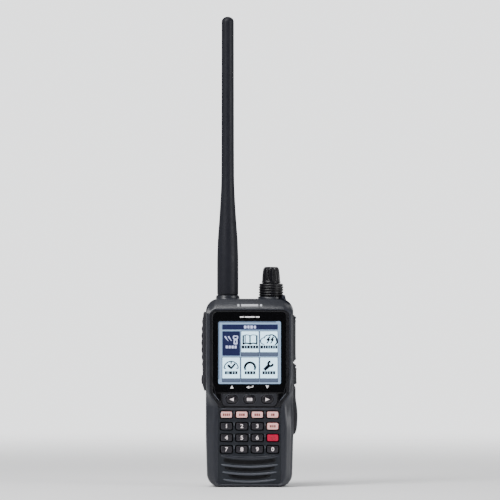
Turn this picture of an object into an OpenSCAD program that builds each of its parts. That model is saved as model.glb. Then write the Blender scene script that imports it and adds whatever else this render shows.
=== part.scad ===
// Handheld aviation radio: case halves, screen, keypad, side controls, battery pack,
// belt clip and a screw-free bayonet antenna.
// The origin is at the centre of the base. +Z runs up to the antenna and -Y is the front.

/* [Case] */
// Width of the case across its straight sides
case_w = 62; // [62:0.5:66]
// Height of the case from the base to the top face
case_h = 133; // [132:0.5:136]
// Depth of the case with the battery pack on
case_d = 35; // [35:0.5:38]
// Thickness of the side, top and base walls
wall = 2.2; // [2:0.1:2.4]
// Thickness of the front wall
front_wall = 3; // [2.8:0.1:3.2]
// Radius of the two lower corners
foot_r = 9.5; // [7:0.5:11]
// Radius of the two shoulders
shoulder_r = 9; // [5:0.5:9]

/* [Screen] */
// Width of the glossy window
window_w = 51.8; // [50:0.2:53]
// Height of the top edge of the window
window_top = 123.8; // [122:0.2:124]
// Side of the square screen opening
screen_w = 45.2; // [42:0.2:46]
// Height of the middle of the screen
screen_z = 95.1; // [94.5:0.1:95.5]

/* [Keypad] */
// Distance between key columns
key_pitch_x = 10.9; // [10.6:0.1:11.2]
// Distance between key rows
key_pitch_z = 8.17; // [8:0.01:8.4]
// Width of one key
key_w = 7.9; // [7:0.1:8.4]
// Height of one key
key_h = 4.6; // [4:0.1:5]
// Travel of every front key
key_travel = 0.7; // [0.4:0.1:0.7]

/* [Antenna] */
// Distance from the middle of the case to the antenna axis
antenna_x = 15.5; // [14:0.1:16]
// Height of the tip of the antenna
antenna_top = 333.3; // [300:0.1:360]
// Radius of the base of the antenna boot
boot_r = 7.55; // [7.4:0.05:8]

/* [Knobs] */
// Distance from the middle of the case to the knob axis
knob_x = 15.3; // [14:0.1:15.5]
// Radius of the outer ring
ring_r = 8.8; // [8:0.1:9]
// Radius of the dial at its skirt
dial_r = 6.8; // [6:0.05:6.9]
// Number of flutes around the dial
flutes = 8; // [6:1:10]

/* [Sides] */
// Travel of the two side buttons
side_travel = 1.2; // [0.6:0.1:1.2]
// Distance that the battery latch slides
latch_travel = 2.2; // [1.6:0.1:2.2]

/* [Belt clip] */
// Width of the clip arm
clip_w = 15.2; // [14:0.2:16]
// Height of the lower end of the clip arm
clip_low = 62; // [56:1:72]

/* [Hidden] */
KEYS = [
    "soft_key_1", "soft_key_2", "soft_key_3", "soft_key_4",
    "key_1", "key_2", "key_3", "key_mode",
    "key_4", "key_5", "key_6", "key_red",
    "key_7", "key_8", "key_9", "key_0"
];
NAV_KEYS = ["nav_left", "nav_enter", "nav_right"];

$fn = 48;
gap = 0.3;                          // clearance between pieces that move past each other
run = 0.05;                         // radial clearance of a turning fit
eps = 0.01;
arc_steps = 6;                      // straight pieces in one rounded corner

// Main planes
side_x = case_w / 2;
front_y = -case_d / 2;
back_y = case_d / 2;
inner_y = front_y + front_wall;     // inside face of the front wall
split_y = front_y + 11.5;           // joint between the case halves
seal_t = 0.5;                       // thickness of the case seal
rear_wall_y = front_y + 22.1;       // back face of the rear case below the battery shelf
rear_wall_t = 1.8;                  // thickness of that wall and of the shelf
pack_y = rear_wall_y + gap;         // front face of the battery pack
shelf_z = 98.6;                     // underside of the rear case above the battery pack
taper_z = 36;                       // height below which the sides lean in
taper_x = 1;                        // how far they lean in at the base
taper_r = 30;
front_corner_r = 5;                 // upright corners seen from above
back_corner_r = 4;
slope_z = case_h - 7.8;             // lower edge of the sloped top band
slope_y = front_y + 7;              // back edge of the sloped top band

// Front openings
recess_d = 0.5;                     // depth of the screen surround and the keypad field
window_t = 1.5;
bezel_rim = 2.1;                    // width of the surround beside the window
window_y = front_y + 0.4;           // front face of the window
ledge_y = window_y + window_t;      // ledge that the window is bonded to
leg_low = 61;                       // lower end of the window's two legs
leg_x = 21.2;                       // outer edge of a leg
shoulder_z = 67.2;                  // height where the window reaches its full width
nav_low = 57.2;
nav_high = 66;
nav_w = 38.6;
nav_key_z = 62.1;
nav_key_w = 8.3;
nav_key_h = 5.7;
nav_pitch = 12.5;
nav_y = front_y - 0.1;              // front face of the navigation plate
nav_t = 1.2;
field_w = 44;
field_low = 23;
field_high = 55.4;
key_row_z = 51.3;                   // height of the top row of keys
key_y = front_y - 0.6;              // front face of the keys
flange_y = inner_y + gap;
flange_t = 0.8;
flange_lip = 0.9;                   // how far a key's flange stands out behind its opening
post_t = 0.9;
key_post_r = 1.2;
key_corner_r = 0.9;
mat_y = flange_y + flange_t + post_t + key_travel + 0.1;
mat_t = 0.7;
board_y = mat_y + mat_t;
board_t = 1.2;
board_back_y = board_y + board_t;

// Speaker grille
slot_z = [17.5, 12.3, 6.8];
slot_half = [16.1, 14.5, 11.9];
slot_h = 1.9;
slot_sag = 1.4;
speaker_t = 4;
magnet_r = 5.8;
mic = [13.6, 19.2];                 // microphone position as [x, z]
mic_r = 2;
mic_t = 2.2;

// Controls on the top
top_y = 3.5;
barrel_r = 4.7;                     // outside radius of the antenna socket
lug_z = case_h + 6.6;
lug_r = 1;
lug_reach = 5.6;
sleeve_r = 6.5;
pin_r = 0.68;
collar_top = case_h + 2.4;
boot_low = collar_top + 0.4;
ring_low = case_h + 1.8;
ring_high = case_h + 10.9;
dial_low = ring_high + gap;
dial_high = case_h + 22.7;
dial_shaft_r = 3;
volume_shaft_r = 4.5;
bushing_r = 6;
ridges = 5;
flute_r = 1.8;                      // radius of the cutter that makes a flute
flute_out = 0.65;                   // distance of its axis outside the dial's skirt
seat_r = 7.6;                       // inside and outside radius of the raised seat
seat_out_r = 9.4;                   // below the outer ring
collar_r = 8.7;
sleeve_top = case_h + 16;

// Left side
side_mid_y = rear_wall_y - 5.2;     // middle of the side controls
button_w = 7.6;
ptt_low = 84;
ptt_high = 119.5;
monitor_low = 72;
monitor_high = 79.5;
surround_x = side_x + 2.4;
button_x = side_x + 3.3;            // outer face of the side buttons
button_root_x = side_x + 0.6;
post_end_x = side_x - 3.4;
side_post_r = 1.3;
surround_half = 4.8;                // half the depth of the surround and the side pad

// Right side
cover_x = side_x + gap;             // inner face of the jack covers
knuckle_r = 0.85;
trunnion_r = 0.45;
audio_z = [112, 98];
audio_r = [1.78, 1.28];
audio_depth = [14, 11];
power_z = 79;
power_r = 1.78;
power_depth = 10;
jack_mouth_x = side_x - 1.4;
jack_back_y = rear_wall_y - rear_wall_t - 0.1;
jack_nose_r = 3.4;
stub_r = 2.3;
cover_low = [89.2, 72.3];
cover_high = [120.6, 86.5];
cover_out = [side_x + 1.7, side_x + 2.5];
cover_half = 4.6;                   // half the depth of a cover
hinge_drop = 0.95;                  // hinge axis below the top of the cover, and ear radius
ear_y = 4.4;                        // middle of an ear, from the middle of the cover

// Battery latch
latch_w = 17.4;
latch_y = rear_wall_y - 6.1;        // front edge of the slider
latch_z = [1.6, 3.6];
thumb_w = 14;
thumb_d = 1.5;
tooth_w = 10;

// Belt clip
pin_y = back_y + 5.5;
pin_z = 120;
clip_pin_r = 1.2;
eye_r = 2.6;
bracket_w = 22;
arm_t = 2;

// Colours
case_colour = [0.20, 0.21, 0.23];
rubber_colour = [0.13, 0.13, 0.14];
dark_colour = [0.05, 0.05, 0.06];
metal_colour = [0.70, 0.70, 0.70];
pale_key = [0.90, 0.80, 0.78];
dark_key = [0.17, 0.17, 0.20];
red_key = [0.75, 0.15, 0.20];

// ---- Outlines ----

function unit(v) = v / norm(v);

// One corner b = [x, y, r] between its neighbours, as an arc of radius r
function corner(a, b, c) =
    let (
        p = [b.x, b.y],
        u = unit([a.x, a.y] - p),
        v = unit([c.x, c.y] - p),
        half = acos(u * v) / 2,
        centre = p + unit(u + v) * b.z / sin(half),
        start = p + u * b.z / tan(half) - centre,
        end = p + v * b.z / tan(half) - centre,
        a0 = atan2(start.y, start.x),
        turn = (atan2(end.y, end.x) - a0 + 540) % 360 - 180
    )
    b.z == 0 ? [p] : [
        for (k = [0:arc_steps])
            centre + b.z * [cos(a0 + turn * k / arc_steps), sin(a0 + turn * k / arc_steps)]
    ];

// Outline through corners [x, y, r]
function rounded(c) = [
    for (i = [0:len(c) - 1])
        each corner(c[(i + len(c) - 1) % len(c)], c[i], c[(i + 1) % len(c)])
];

// Rectangle from low = [x, y] to high = [x, y] with corner radius r
function plate(low, high, r) = rounded([
    [low.x, low.y, r], [high.x, low.y, r], [high.x, high.y, r], [low.x, high.y, r]
]);

// Half of a mirrored outline, followed by its mirror image
function mirrored(half) = concat(half, [
    for (i = [len(half) - 1:-1:0]) [-half[i].x, half[i].y, half[i].z]
]);

// Case seen from the front, drawn in by t
function front_outline(t) = rounded(mirrored([
    [side_x - taper_x - t, t, foot_r - t],
    [side_x - t, taper_z, taper_r],
    [side_x - t, case_h - t, shoulder_r - t]
]));

// Case seen from above, with the front drawn in by f and the rest by t
function plan_outline(f, t) = rounded([
    [-side_x + t, front_y + f, front_corner_r - t],
    [side_x - t, front_y + f, front_corner_r - t],
    [side_x - t, back_y - t, back_corner_r - t / 2],
    [-side_x + t, back_y - t, back_corner_r - t / 2]
]);

// Case seen from the side as [y, z], with the front drawn in by f and the rest by t
function side_outline(f, t) = rounded([
    [front_y + f, t, 2.5],
    [back_y - t, t, 1.5],
    [back_y - t, case_h - t, 2.5],
    [slope_y + t / 2, case_h - t, 4],
    [front_y + f, slope_z - t / 2, 1.5]
]);

// Window outline: two short legs run down beside the navigation plate
function window_outline(t) = rounded(mirrored([
    [nav_w / 2 + 0.5 - t, nav_high + 0.6 - t, 0.5],
    [nav_w / 2 + 0.5 - t, leg_low - t, 0],
    [leg_x + t / 2, leg_low - t, 0.4],
    [window_w / 2 + t, shoulder_z, 2],
    [window_w / 2 + t, window_top + t, 3 + t]
]));

// Shallow recess around the window and the navigation plate
bezel_outline = rounded(mirrored([
    [leg_x - 0.6, nav_low - 0.8, 2],
    [window_w / 2 + bezel_rim, shoulder_z - 0.8, 3],
    [window_w / 2 + bezel_rim, window_top + 1.2, 4]
]));

// Curved band, low in the middle: z at the middle, half width, height and end lift
function band(z, half, h, sag) = concat(
    [for (i = [-8:8]) [half * i / 8, z - h / 2 + sag * (i / 8) * (i / 8)]],
    [for (i = [8:-1:-8]) [half * i / 8, z + h / 2 + sag * (i / 8) * (i / 8)]]
);

// ---- Helpers ----

// Extrude a drawing of [y, z] from x0 to x1
module along_x(x0, x1) {
    translate([x0, 0, 0])
        rotate([90, 0, 90])
            linear_extrude(x1 - x0)
                children();
}

// Extrude a drawing of [x, z] from y0 to y1
module along_y(y0, y1) {
    translate([0, y1, 0])
        rotate([90, 0, 0])
            linear_extrude(y1 - y0)
                children();
}

// Extrude a drawing of [x, y] from z0 to z1
module along_z(z0, z1) {
    translate([0, 0, z0])
        linear_extrude(z1 - z0)
            children();
}

// Box between [low, high] pairs
module block(x, y, z) {
    translate([x[0], y[0], z[0]])
        cube([x[1] - x[0], y[1] - y[0], z[1] - z[0]]);
}

module rod_x(x, y, z, r) {
    translate([x[0], y, z])
        rotate([0, 90, 0])
            cylinder(h = x[1] - x[0], r = r);
}

module rod_y(x, y, z, r) {
    translate([x, y[1], z])
        rotate([90, 0, 0])
            cylinder(h = y[1] - y[0], r = r);
}

module rod_z(x, y, z, r) {
    translate([x, y, z[0]])
        cylinder(h = z[1] - z[0], r = r);
}

// The whole case volume, with the front wall drawn in by f and the rest by t
module case_volume(f, t) {
    intersection() {
        along_y(front_y - 1, back_y + 1)
            polygon(front_outline(t));
        along_z(-1, case_h + 1)
            polygon(plan_outline(f, t));
        along_x(-side_x - 1, side_x + 1)
            polygon(side_outline(f, t));
    }
}

// ---- Keys ----

function key_x(i) = (i % 4 - 1.5) * key_pitch_x;
function key_z(i) = key_row_z - floor(i / 4) * key_pitch_z;
function nav_x(i) = (i - 1) * nav_pitch;

// Drawing of a keypad key, grown by t
module key_shape(t) {
    polygon(plate([-key_w / 2 - t, -key_h / 2 - t], [key_w / 2 + t, key_h / 2 + t], key_corner_r + t));
}

// Drawing of an oval navigation key, grown by t
module nav_shape(t) {
    polygon(plate(
        [-nav_key_w / 2 - t, -nav_key_h / 2 - t],
        [nav_key_w / 2 + t, nav_key_h / 2 + t],
        nav_key_h / 2 + t - 0.05
    ));
}

// Flange and post behind a key at [x, z]
module key_back(x, z, w, h) {
    block([x - w / 2, x + w / 2], [flange_y, flange_y + flange_t], [z - h / 2, z + h / 2]);
    rod_y(x, [flange_y + flange_t - eps, flange_y + flange_t + post_t], z, key_post_r);
}

module keypad_key(i) {
    x = key_x(i);
    z = key_z(i);
    pale = i < 4 || KEYS[i] == "key_mode";
    color(KEYS[i] == "key_red" ? red_key : pale ? pale_key : dark_key) {
        along_y(key_y, flange_y + eps)
            translate([x, z])
                key_shape(0);
        key_back(x, z, key_w + 2 * flange_lip, key_h + 2 * flange_lip);
    }
}

module nav_key(i) {
    x = nav_x(i);
    color(rubber_colour) {
        along_y(key_y - 0.2, flange_y + eps)
            translate([x, nav_key_z])
                nav_shape(0);
        key_back(x, nav_key_z, nav_key_w + 2 * flange_lip, nav_key_h + 2 * flange_lip);
    }
}

// ---- Case ----

module front_openings() {
    // screen surround, window seat and screen opening
    along_y(front_y - 1, front_y + recess_d)
        polygon(bezel_outline);
    along_y(front_y - 1, ledge_y)
        polygon(window_outline(0.15));
    along_y(front_y - 1, inner_y + 1)
        polygon(plate(
            [-screen_w / 2, screen_z - screen_w / 2],
            [screen_w / 2, screen_z + screen_w / 2],
            1
        ));
    // navigation plate seat and key openings
    along_y(front_y - 1, nav_y + nav_t)
        polygon(plate([-nav_w / 2, nav_low], [nav_w / 2, nav_high], 2));
    for (i = [0:2])
        along_y(front_y - 1, inner_y + 1)
            translate([nav_x(i), nav_key_z])
                nav_shape(gap);
    // keypad field and key openings
    along_y(front_y - 1, front_y + recess_d)
        polygon(plate([-field_w / 2, field_low], [field_w / 2, field_high], 2));
    for (i = [0:15])
        along_y(front_y - 1, inner_y + 1)
            translate([key_x(i), key_z(i)])
                key_shape(gap);
    // speaker slots
    for (i = [0:2])
        along_y(front_y - 1, inner_y + 1)
            polygon(band(slot_z[i], slot_half[i], slot_h, slot_sag));
}

module front_case() {
    color(case_colour)
        difference() {
            intersection() {
                case_volume(0, 0);
                block([-side_x, side_x], [front_y, split_y - seal_t], [0, case_h]);
            }
            intersection() {
                case_volume(front_wall, wall);
                block([-side_x, side_x], [front_y, split_y], [0, case_h]);
            }
            front_openings();
        }
}

// Pocket and plunger holes behind a side button
module button_pocket(z) {
    block(
        [-side_x - 1, -button_root_x + side_travel + gap],
        [side_mid_y - button_w / 2 - gap, side_mid_y + button_w / 2 + gap],
        [z[0] - gap, z[1] + gap]
    );
    for (p = button_posts(z))
        rod_x([-side_x - 1, -side_x + wall + 1], side_mid_y, p, side_post_r + gap);
}

// Ears and trunnions that hold a jack cover
module cover_ears(z) {
    hinge_x = cover_x + knuckle_r;
    for (s = [-1, 1]) {
        ear = side_mid_y + s * ear_y;
        rod_y(hinge_x, [ear - 0.5, ear + 0.5], z, hinge_drop);
        block(
            [side_x - eps, hinge_x], [ear - 0.5, ear + 0.5], [z - hinge_drop, z + hinge_drop]
        );
        tip = side_mid_y + s * 3.3;
        rod_y(hinge_x, [min(tip, ear), max(tip, ear)], z, trunnion_r);
    }
}

// Raised guard in front of and beside the ring
module knob_guard() {
    difference() {
        along_y(split_y, split_y + 14)
            polygon([
                [knob_x + 7.6, case_h - 1], [knob_x + 7.6, case_h + 2.3],
                [knob_x + 8.2, case_h + 2.7], [knob_x + 9.8, case_h + 2.7],
                [knob_x + 11.2, case_h - 2.6], [knob_x + 9, case_h - 2.6]
            ]);
        rod_z(knob_x, top_y, [case_h, case_h + 5], ring_r + 0.5);
    }
}

module rear_case() {
    color(case_colour) {
        difference() {
            union() {
                intersection() {
                    case_volume(0, 0);
                    union() {
                        block([-side_x, side_x], [split_y, rear_wall_y], [0, case_h]);
                        block([-side_x, side_x], [split_y, back_y], [shelf_z, case_h]);
                    }
                }
                difference() {
                    rod_z(knob_x, top_y, [case_h - 1, ring_low - 0.4], seat_out_r);
                    rod_z(knob_x, top_y, [case_h, ring_low], seat_r);
                }
                knob_guard();
                for (i = [0, 1])
                    cover_ears(cover_high[i] - hinge_drop);
            }
            intersection() {
                case_volume(front_wall, wall);
                union() {
                    block(
                        [-side_x, side_x], [split_y - 1, rear_wall_y - rear_wall_t],
                        [latch_z[1] + gap + 2.1, case_h]
                    );
                    block(
                        [-side_x, side_x], [split_y - 1, back_y],
                        [shelf_z + rear_wall_t, case_h]
                    );
                }
            }
            // openings in the top
            rod_z(-antenna_x, top_y, [case_h - 5, case_h + 1], barrel_r);
            rod_z(knob_x, top_y, [case_h - 5, case_h + 1], bushing_r);
            // left side
            button_pocket([ptt_low, ptt_high]);
            button_pocket([monitor_low, monitor_high]);
            // right side
            for (z = concat(audio_z, [power_z]))
                rod_x([side_x - wall - 1, side_x + eps], side_mid_y, z, jack_nose_r);
            latch_pocket();
            screw_seats();
        }
    }
}

module case_gasket() {
    color(dark_colour)
        along_y(split_y - seal_t, split_y)
            difference() {
                polygon(front_outline(0.4));
                polygon(front_outline(1.8));
            }
}

// Screw positions on the rear face as [x, z]
screws = [for (x = [-25, 25], z = [104, 126]) [x, z]];
screw_head_r = 2.1;
screw_seat_y = back_y - 1.2;
slot_w = 0.6;

module screw_seats() {
    for (s = screws) {
        rod_y(s.x, [screw_seat_y, back_y + 1], s.y, screw_head_r + 0.2);
        rod_y(s.x, [back_y - 4, back_y], s.y, 1.1);
    }
}

module case_screws() {
    color(metal_colour)
        for (s = screws) {
            difference() {
                rod_y(s.x, [screw_seat_y, back_y - 0.1], s.y, screw_head_r);
                for (turned = [0, 90])
                    translate([s.x, back_y - slot_w, s.y])
                        rotate([0, turned, 0])
                            block([-1.5, 1.5], [0, 1], [-slot_w / 2, slot_w / 2]);
            }
            rod_y(s.x, [back_y - 6, screw_seat_y + eps], s.y, 1);
        }
}

// ---- Screen and front plates ----

module display_window() {
    color(dark_colour)
        along_y(window_y, ledge_y)
            polygon(window_outline(0));
}

lcd_half = screen_w / 2 + 1.4;
lcd_low = screen_z - lcd_half;
lcd_high = screen_z + lcd_half;

module lcd_panel() {
    color([0.80, 0.88, 0.95])
        block([-lcd_half, lcd_half], [inner_y, inner_y + 2], [lcd_low, lcd_high]);
}

module lcd_frame() {
    color(metal_colour)
        difference() {
            along_y(inner_y, board_y)
                polygon(plate(
                    [-lcd_half - 1.4, lcd_low - 1.4], [lcd_half + 1.4, lcd_high + 1.4], 1
                ));
            block(
                [-lcd_half, lcd_half], [inner_y - 1, inner_y + 2], [lcd_low, lcd_high]
            );
        }
}

module nav_panel() {
    color(rubber_colour)
        difference() {
            along_y(nav_y, nav_y + nav_t)
                polygon(plate([-nav_w / 2, nav_low], [nav_w / 2, nav_high], 2));
            for (i = [0:2])
                along_y(nav_y - 1, nav_y + nav_t + 1)
                    translate([nav_x(i), nav_key_z])
                        nav_shape(gap);
        }
}

module key_mat() {
    color(rubber_colour)
        along_y(mat_y, mat_y + mat_t)
            polygon(plate([-23, 22.5], [23, lcd_low - 1.7], 1));
}

// ---- Electronics ----

module main_board() {
    color([0.05, 0.30, 0.15])
        along_y(board_y, board_back_y)
            polygon(plate([-26, 22], [26, lcd_high + 1.5], 2));
}

module shield_can() {
    color(metal_colour)
        difference() {
            along_y(board_back_y, split_y + 2.4)
                polygon(plate([-19, 34], [10, 112], 1.5));
            block([-18.4, 9.4], [board_back_y - 1, split_y + 1.8], [34.6, 111.4]);
        }
}

module speaker() {
    low = wall + 2.7;
    high = 16.9;
    rim = 1.2;
    color(dark_colour)
        difference() {
            along_y(inner_y, inner_y + speaker_t)
                polygon(plate([-17.4, low], [17.4, high], 5.8));
            along_y(inner_y - 1, inner_y + rim)
                polygon(plate([-17.4 + rim, low + rim], [17.4 - rim, high - rim], 4.6));
        }
    color(metal_colour)
        rod_y(
            0, [inner_y + speaker_t - eps, inner_y + speaker_t + 3], (low + high) / 2, magnet_r
        );
}

module microphone() {
    color(metal_colour)
        rod_y(mic.x, [inner_y, inner_y + mic_t], mic.y, mic_r);
}

// Switches behind the side buttons, carried on the main board
module side_switches() {
    color(dark_colour)
        for (z = [[94, 110], [monitor_low - 0.5, monitor_high + 0.5]]) {
            block([-side_x + 6.9, -side_x + 9.4], [board_back_y, side_mid_y + 2], z);
            for (p = button_posts([z[0], z[1]]))
                rod_x([-side_x + 4.9, -side_x + 7], side_mid_y, p, 1);
        }
}

// Body of the side jacks with one nose and bore per [z, r, depth]
module jack_block(x, z, jacks) {
    difference() {
        union() {
            block([x, side_x - wall], [side_mid_y - 4, jack_back_y], z);
            block(
                [x + 2, x + 6], [board_back_y, side_mid_y],
                [(z[0] + z[1]) / 2 - 3, (z[0] + z[1]) / 2 + 3]
            );
            for (j = jacks)
                rod_x([side_x - wall - eps, jack_mouth_x], side_mid_y, j[0], jack_nose_r);
        }
        for (j = jacks)
            rod_x([jack_mouth_x - j[2], jack_mouth_x + 1], side_mid_y, j[0], j[1]);
    }
}

module audio_jacks() {
    color(dark_colour)
        jack_block(
            side_x - 17, [93, 117],
            [for (i = [0, 1]) [audio_z[i], audio_r[i], audio_depth[i]]]
        );
}

module power_jack() {
    color(dark_colour)
        jack_block(side_x - 13, [74, 84], [[power_z, power_r, power_depth]]);
}

// ---- Antenna ----

module antenna_jack() {
    translate([-antenna_x, top_y, 0])
        color(metal_colour)
            difference() {
                union() {
                    rod_z(0, 0, [case_h - wall - 3, case_h - wall], 7.5);
                    rod_z(0, 0, [case_h - wall - eps, case_h + 13], barrel_r);
                    rod_x([-lug_reach, lug_reach], 0, lug_z, lug_r);
                }
                rod_z(0, 0, [case_h + 2.5, case_h + 14], pin_r + run);
            }
}

module antenna_collar() {
    color(case_colour)
        translate([-antenna_x, top_y, 0])
            rotate_extrude()
                polygon([
                    [barrel_r, case_h], [collar_r, case_h], [collar_r - 0.3, case_h + 0.7],
                    [collar_r - 0.5, collar_top - 0.5], [collar_r - 0.8, collar_top],
                    [barrel_r, collar_top]
                ]);
}

// Radius of the boot and whip at each height above the case
whip_profile = [
    [3.2, boot_r], [28, boot_r - 0.05], [36, boot_r - 0.25], [42, boot_r - 0.5],
    [55, 6.1], [68.5, 5.25], [82, 4.65], [116, 4.45]
];
tip_r = 4.35;
tip_h = 3.6;

module antenna_whip() {
    tip_z = antenna_top - tip_h;
    color(rubber_colour)
        translate([-antenna_x, top_y, 0])
            rotate_extrude()
                polygon(concat(
                    [[sleeve_r, boot_low], [boot_r - 0.4, boot_low]],
                    [for (p = whip_profile) [p[1], case_h + p[0]]],
                    [for (a = [0:10:80]) [tip_r * cos(a), tip_z + tip_h * sin(a)]],
                    [[0, antenna_top], [0, sleeve_top], [sleeve_r, sleeve_top]]
                ));
}

// Bayonet sleeve with two quarter-turn grooves
module antenna_sleeve() {
    groove_r = lug_reach + gap;
    half_h = lug_r + gap;
    color(metal_colour)
        translate([-antenna_x, top_y, 0])
            difference() {
                rod_z(0, 0, [boot_low + 0.2, sleeve_top], sleeve_r);
                rod_z(0, 0, [boot_low - 1, sleeve_top + 1], barrel_r + gap);
                for (side = [0, 180])
                    rotate([0, 0, side]) {
                        rotate([0, 0, -106])
                            rotate_extrude(angle = 122)
                                translate([barrel_r, lug_z - half_h])
                                    square([groove_r - barrel_r, 2 * half_h]);
                        rotate([0, 0, -90])
                            block([0, groove_r], [-half_h, half_h], [boot_low - 1, lug_z]);
                    }
            }
}

module antenna_pin() {
    color([0.80, 0.65, 0.30])
        translate([-antenna_x, top_y, 0]) {
            rod_z(0, 0, [case_h + 4, case_h + 14.5], pin_r);
            rod_z(0, 0, [sleeve_top - 2, sleeve_top], barrel_r + gap);
        }
}

// ---- Knobs ----

module encoder_body() {
    color(metal_colour)
        translate([knob_x, top_y, 0])
            difference() {
                union() {
                    block([-6.5, 6.5], [-6.5, 6.5], [case_h - 16, case_h - wall]);
                    rod_z(0, 0, [case_h - wall - eps, case_h + 7.6], bushing_r);
                }
                rod_z(0, 0, [case_h - 12, case_h + 8], volume_shaft_r + run);
                rod_z(0, 0, [case_h - 14.5, case_h], dial_shaft_r + run);
            }
}

module encoder_nut() {
    color(metal_colour)
        translate([knob_x, top_y, 0])
            difference() {
                translate([0, 0, case_h])
                    cylinder(h = 1.3, r = 7.5, $fn = 6);
                rod_z(0, 0, [case_h - 1, case_h + 2], bushing_r);
            }
}

module volume_shaft() {
    color(metal_colour)
        translate([knob_x, top_y, 0])
            difference() {
                rod_z(0, 0, [case_h - 11.5, ring_high], volume_shaft_r);
                rod_z(0, 0, [case_h - 12, ring_high + 1], dial_shaft_r + run);
            }
}

// Cup-shaped ring with rounded ridges around it
module volume_ring() {
    pitch = (ring_high - ring_low) / ridges;
    edge = [
        for (i = [0:ridges - 1], k = [0:4])
            [
                ring_r - 0.55 * (1 - sin(180 * k / 4)) - (i == ridges - 1 ? k * 0.12 : 0),
                ring_low + pitch * (i + 0.08 + 0.84 * k / 4)
            ]
    ];
    color(rubber_colour)
        translate([knob_x, top_y, 0])
            rotate_extrude()
                polygon(concat(
                    [[7, ring_low], [ring_r - 0.8, ring_low]],
                    edge,
                    [
                        [ring_r - 1.2, ring_high], [volume_shaft_r, ring_high],
                        [volume_shaft_r, ring_high - 2.2], [7, ring_high - 2.2]
                    ]
                ));
}

module dial_shaft() {
    color(metal_colour)
        rod_z(knob_x, top_y, [case_h - 14, dial_high - 3.5], dial_shaft_r);
}

module dial_knob() {
    color(rubber_colour)
        translate([knob_x, top_y, 0])
            difference() {
                rotate_extrude()
                    polygon([
                        [0, dial_low], [dial_r, dial_low], [dial_r, dial_low + 1],
                        [dial_r - 0.35, dial_low + 1.5], [dial_r - 0.5, dial_low + 4.5],
                        [dial_r - 1.15, dial_high - 2], [dial_r - 1.7, dial_high - 0.7],
                        [dial_r - 2.6, dial_high], [0, dial_high]
                    ]);
                rod_z(0, 0, [dial_low - 1, dial_high - 3.5], dial_shaft_r);
                for (i = [0:flutes - 1])
                    rotate([0, 0, (i + 0.5) * 360 / flutes])
                        rod_z(dial_r + flute_out, 0, [dial_low + 1.9, dial_high + 1], flute_r);
            }
}

// ---- Left side ----

function button_posts(z) = z[1] - z[0] > 12 ?
    [(z[0] + z[1]) / 2 - 4, (z[0] + z[1]) / 2 + 4] : [(z[0] + z[1]) / 2];

module ptt_surround() {
    half = button_w / 2 + gap;
    color(rubber_colour)
        difference() {
            intersection() {
                along_x(-surround_x, -side_x)
                    polygon(plate(
                        [side_mid_y - surround_half, monitor_low - 4.2],
                        [side_mid_y + surround_half, ptt_high + 4.4], 2.5
                    ));
                along_y(front_y, back_y)
                    polygon([
                        [-side_x, monitor_low - 4.4], [-surround_x + 0.4, monitor_low - 3],
                        [-surround_x, monitor_low], [-surround_x, ptt_high - 1],
                        [-surround_x + 0.6, ptt_high + 2.6], [-side_x, ptt_high + 4.6]
                    ]);
            }
            for (z = [[ptt_low, ptt_high], [monitor_low, monitor_high]])
                block(
                    [-surround_x - 1, -side_x + 1],
                    [side_mid_y - half, side_mid_y + half],
                    [z[0] - gap, z[1] + gap]
                );
        }
}

// Side button between heights z, with round ribs of radius r at the heights in ribs
module side_button(z, ribs, r) {
    half = button_w / 2;
    along_x(-button_x + 0.5, -button_root_x)
        polygon(plate([side_mid_y - half, z[0]], [side_mid_y + half, z[1]], 1.5));
    intersection() {
        along_x(-button_x, -button_x + 1.6)
            polygon(plate([side_mid_y - half, z[0]], [side_mid_y + half, z[1]], 1.5));
        for (p = ribs)
            rod_y(-button_x + r, [side_mid_y - half, side_mid_y + half], p, r);
    }
    for (p = button_posts(z))
        rod_x([-button_root_x - eps, -post_end_x], side_mid_y, p, side_post_r);
}

module ptt_button() {
    color(rubber_colour)
        side_button([ptt_low, ptt_high], [for (i = [0:6]) ptt_low + 3.5 + i * 4.7], 1.4);
}

module monitor_key() {
    color(rubber_colour)
        side_button(
            [monitor_low, monitor_high], [(monitor_low + monitor_high) / 2], 2
        );
}

// ---- Right side ----

module jack_cover(i, stubs) {
    hinge_x = cover_x + knuckle_r;
    hinge_z = cover_high[i] - hinge_drop;
    knuckle_half = ear_y - 0.5 - gap;
    difference() {
        union() {
            intersection() {
                along_x(cover_x, cover_out[i])
                    polygon(plate(
                        [side_mid_y - cover_half, cover_low[i]],
                        [side_mid_y + cover_half, hinge_z - 1.3], 1
                    ));
                along_y(front_y, back_y)
                    polygon(rounded([
                        [cover_x, cover_low[i], 0.2],
                        [cover_out[i], cover_low[i] + 0.8, 1],
                        [cover_out[i], hinge_z - 1.6, 0.8],
                        [hinge_x, hinge_z - 1, 0],
                        [cover_x, hinge_z - 1, 0]
                    ]));
            }
            block(
                [cover_x, hinge_x + 0.6],
                [side_mid_y - knuckle_half, side_mid_y + knuckle_half],
                [hinge_z - 1.6, hinge_z]
            );
            rod_y(
                hinge_x, [side_mid_y - knuckle_half, side_mid_y + knuckle_half],
                hinge_z, knuckle_r
            );
            for (z = stubs)
                rod_x([side_x - 1, cover_x + eps], side_mid_y, z, stub_r);
        }
        rod_y(hinge_x, [side_mid_y - 4, side_mid_y + 4], hinge_z, trunnion_r + run);
    }
}

module audio_cover() {
    color(rubber_colour)
        jack_cover(0, audio_z);
}

module power_cover() {
    color(rubber_colour)
        jack_cover(1, [power_z]);
}

module side_pad() {
    color(rubber_colour)
        along_y(side_mid_y - surround_half, side_mid_y + surround_half)
            polygon([
                [side_x, 71.6], [side_x + 1.4, 71.2], [side_x + 1.8, 69],
                [side_x + 1.8, 63], [side_x + 2.2, 59.5], [side_x + 2.9, 55],
                [side_x + 3.1, 51], [side_x + 3.0, 46], [side_x + 2.4, 40.5],
                [side_x + 1.2, 37.4], [side_x, 36.6]
            ]);
}

// ---- Battery ----

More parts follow.
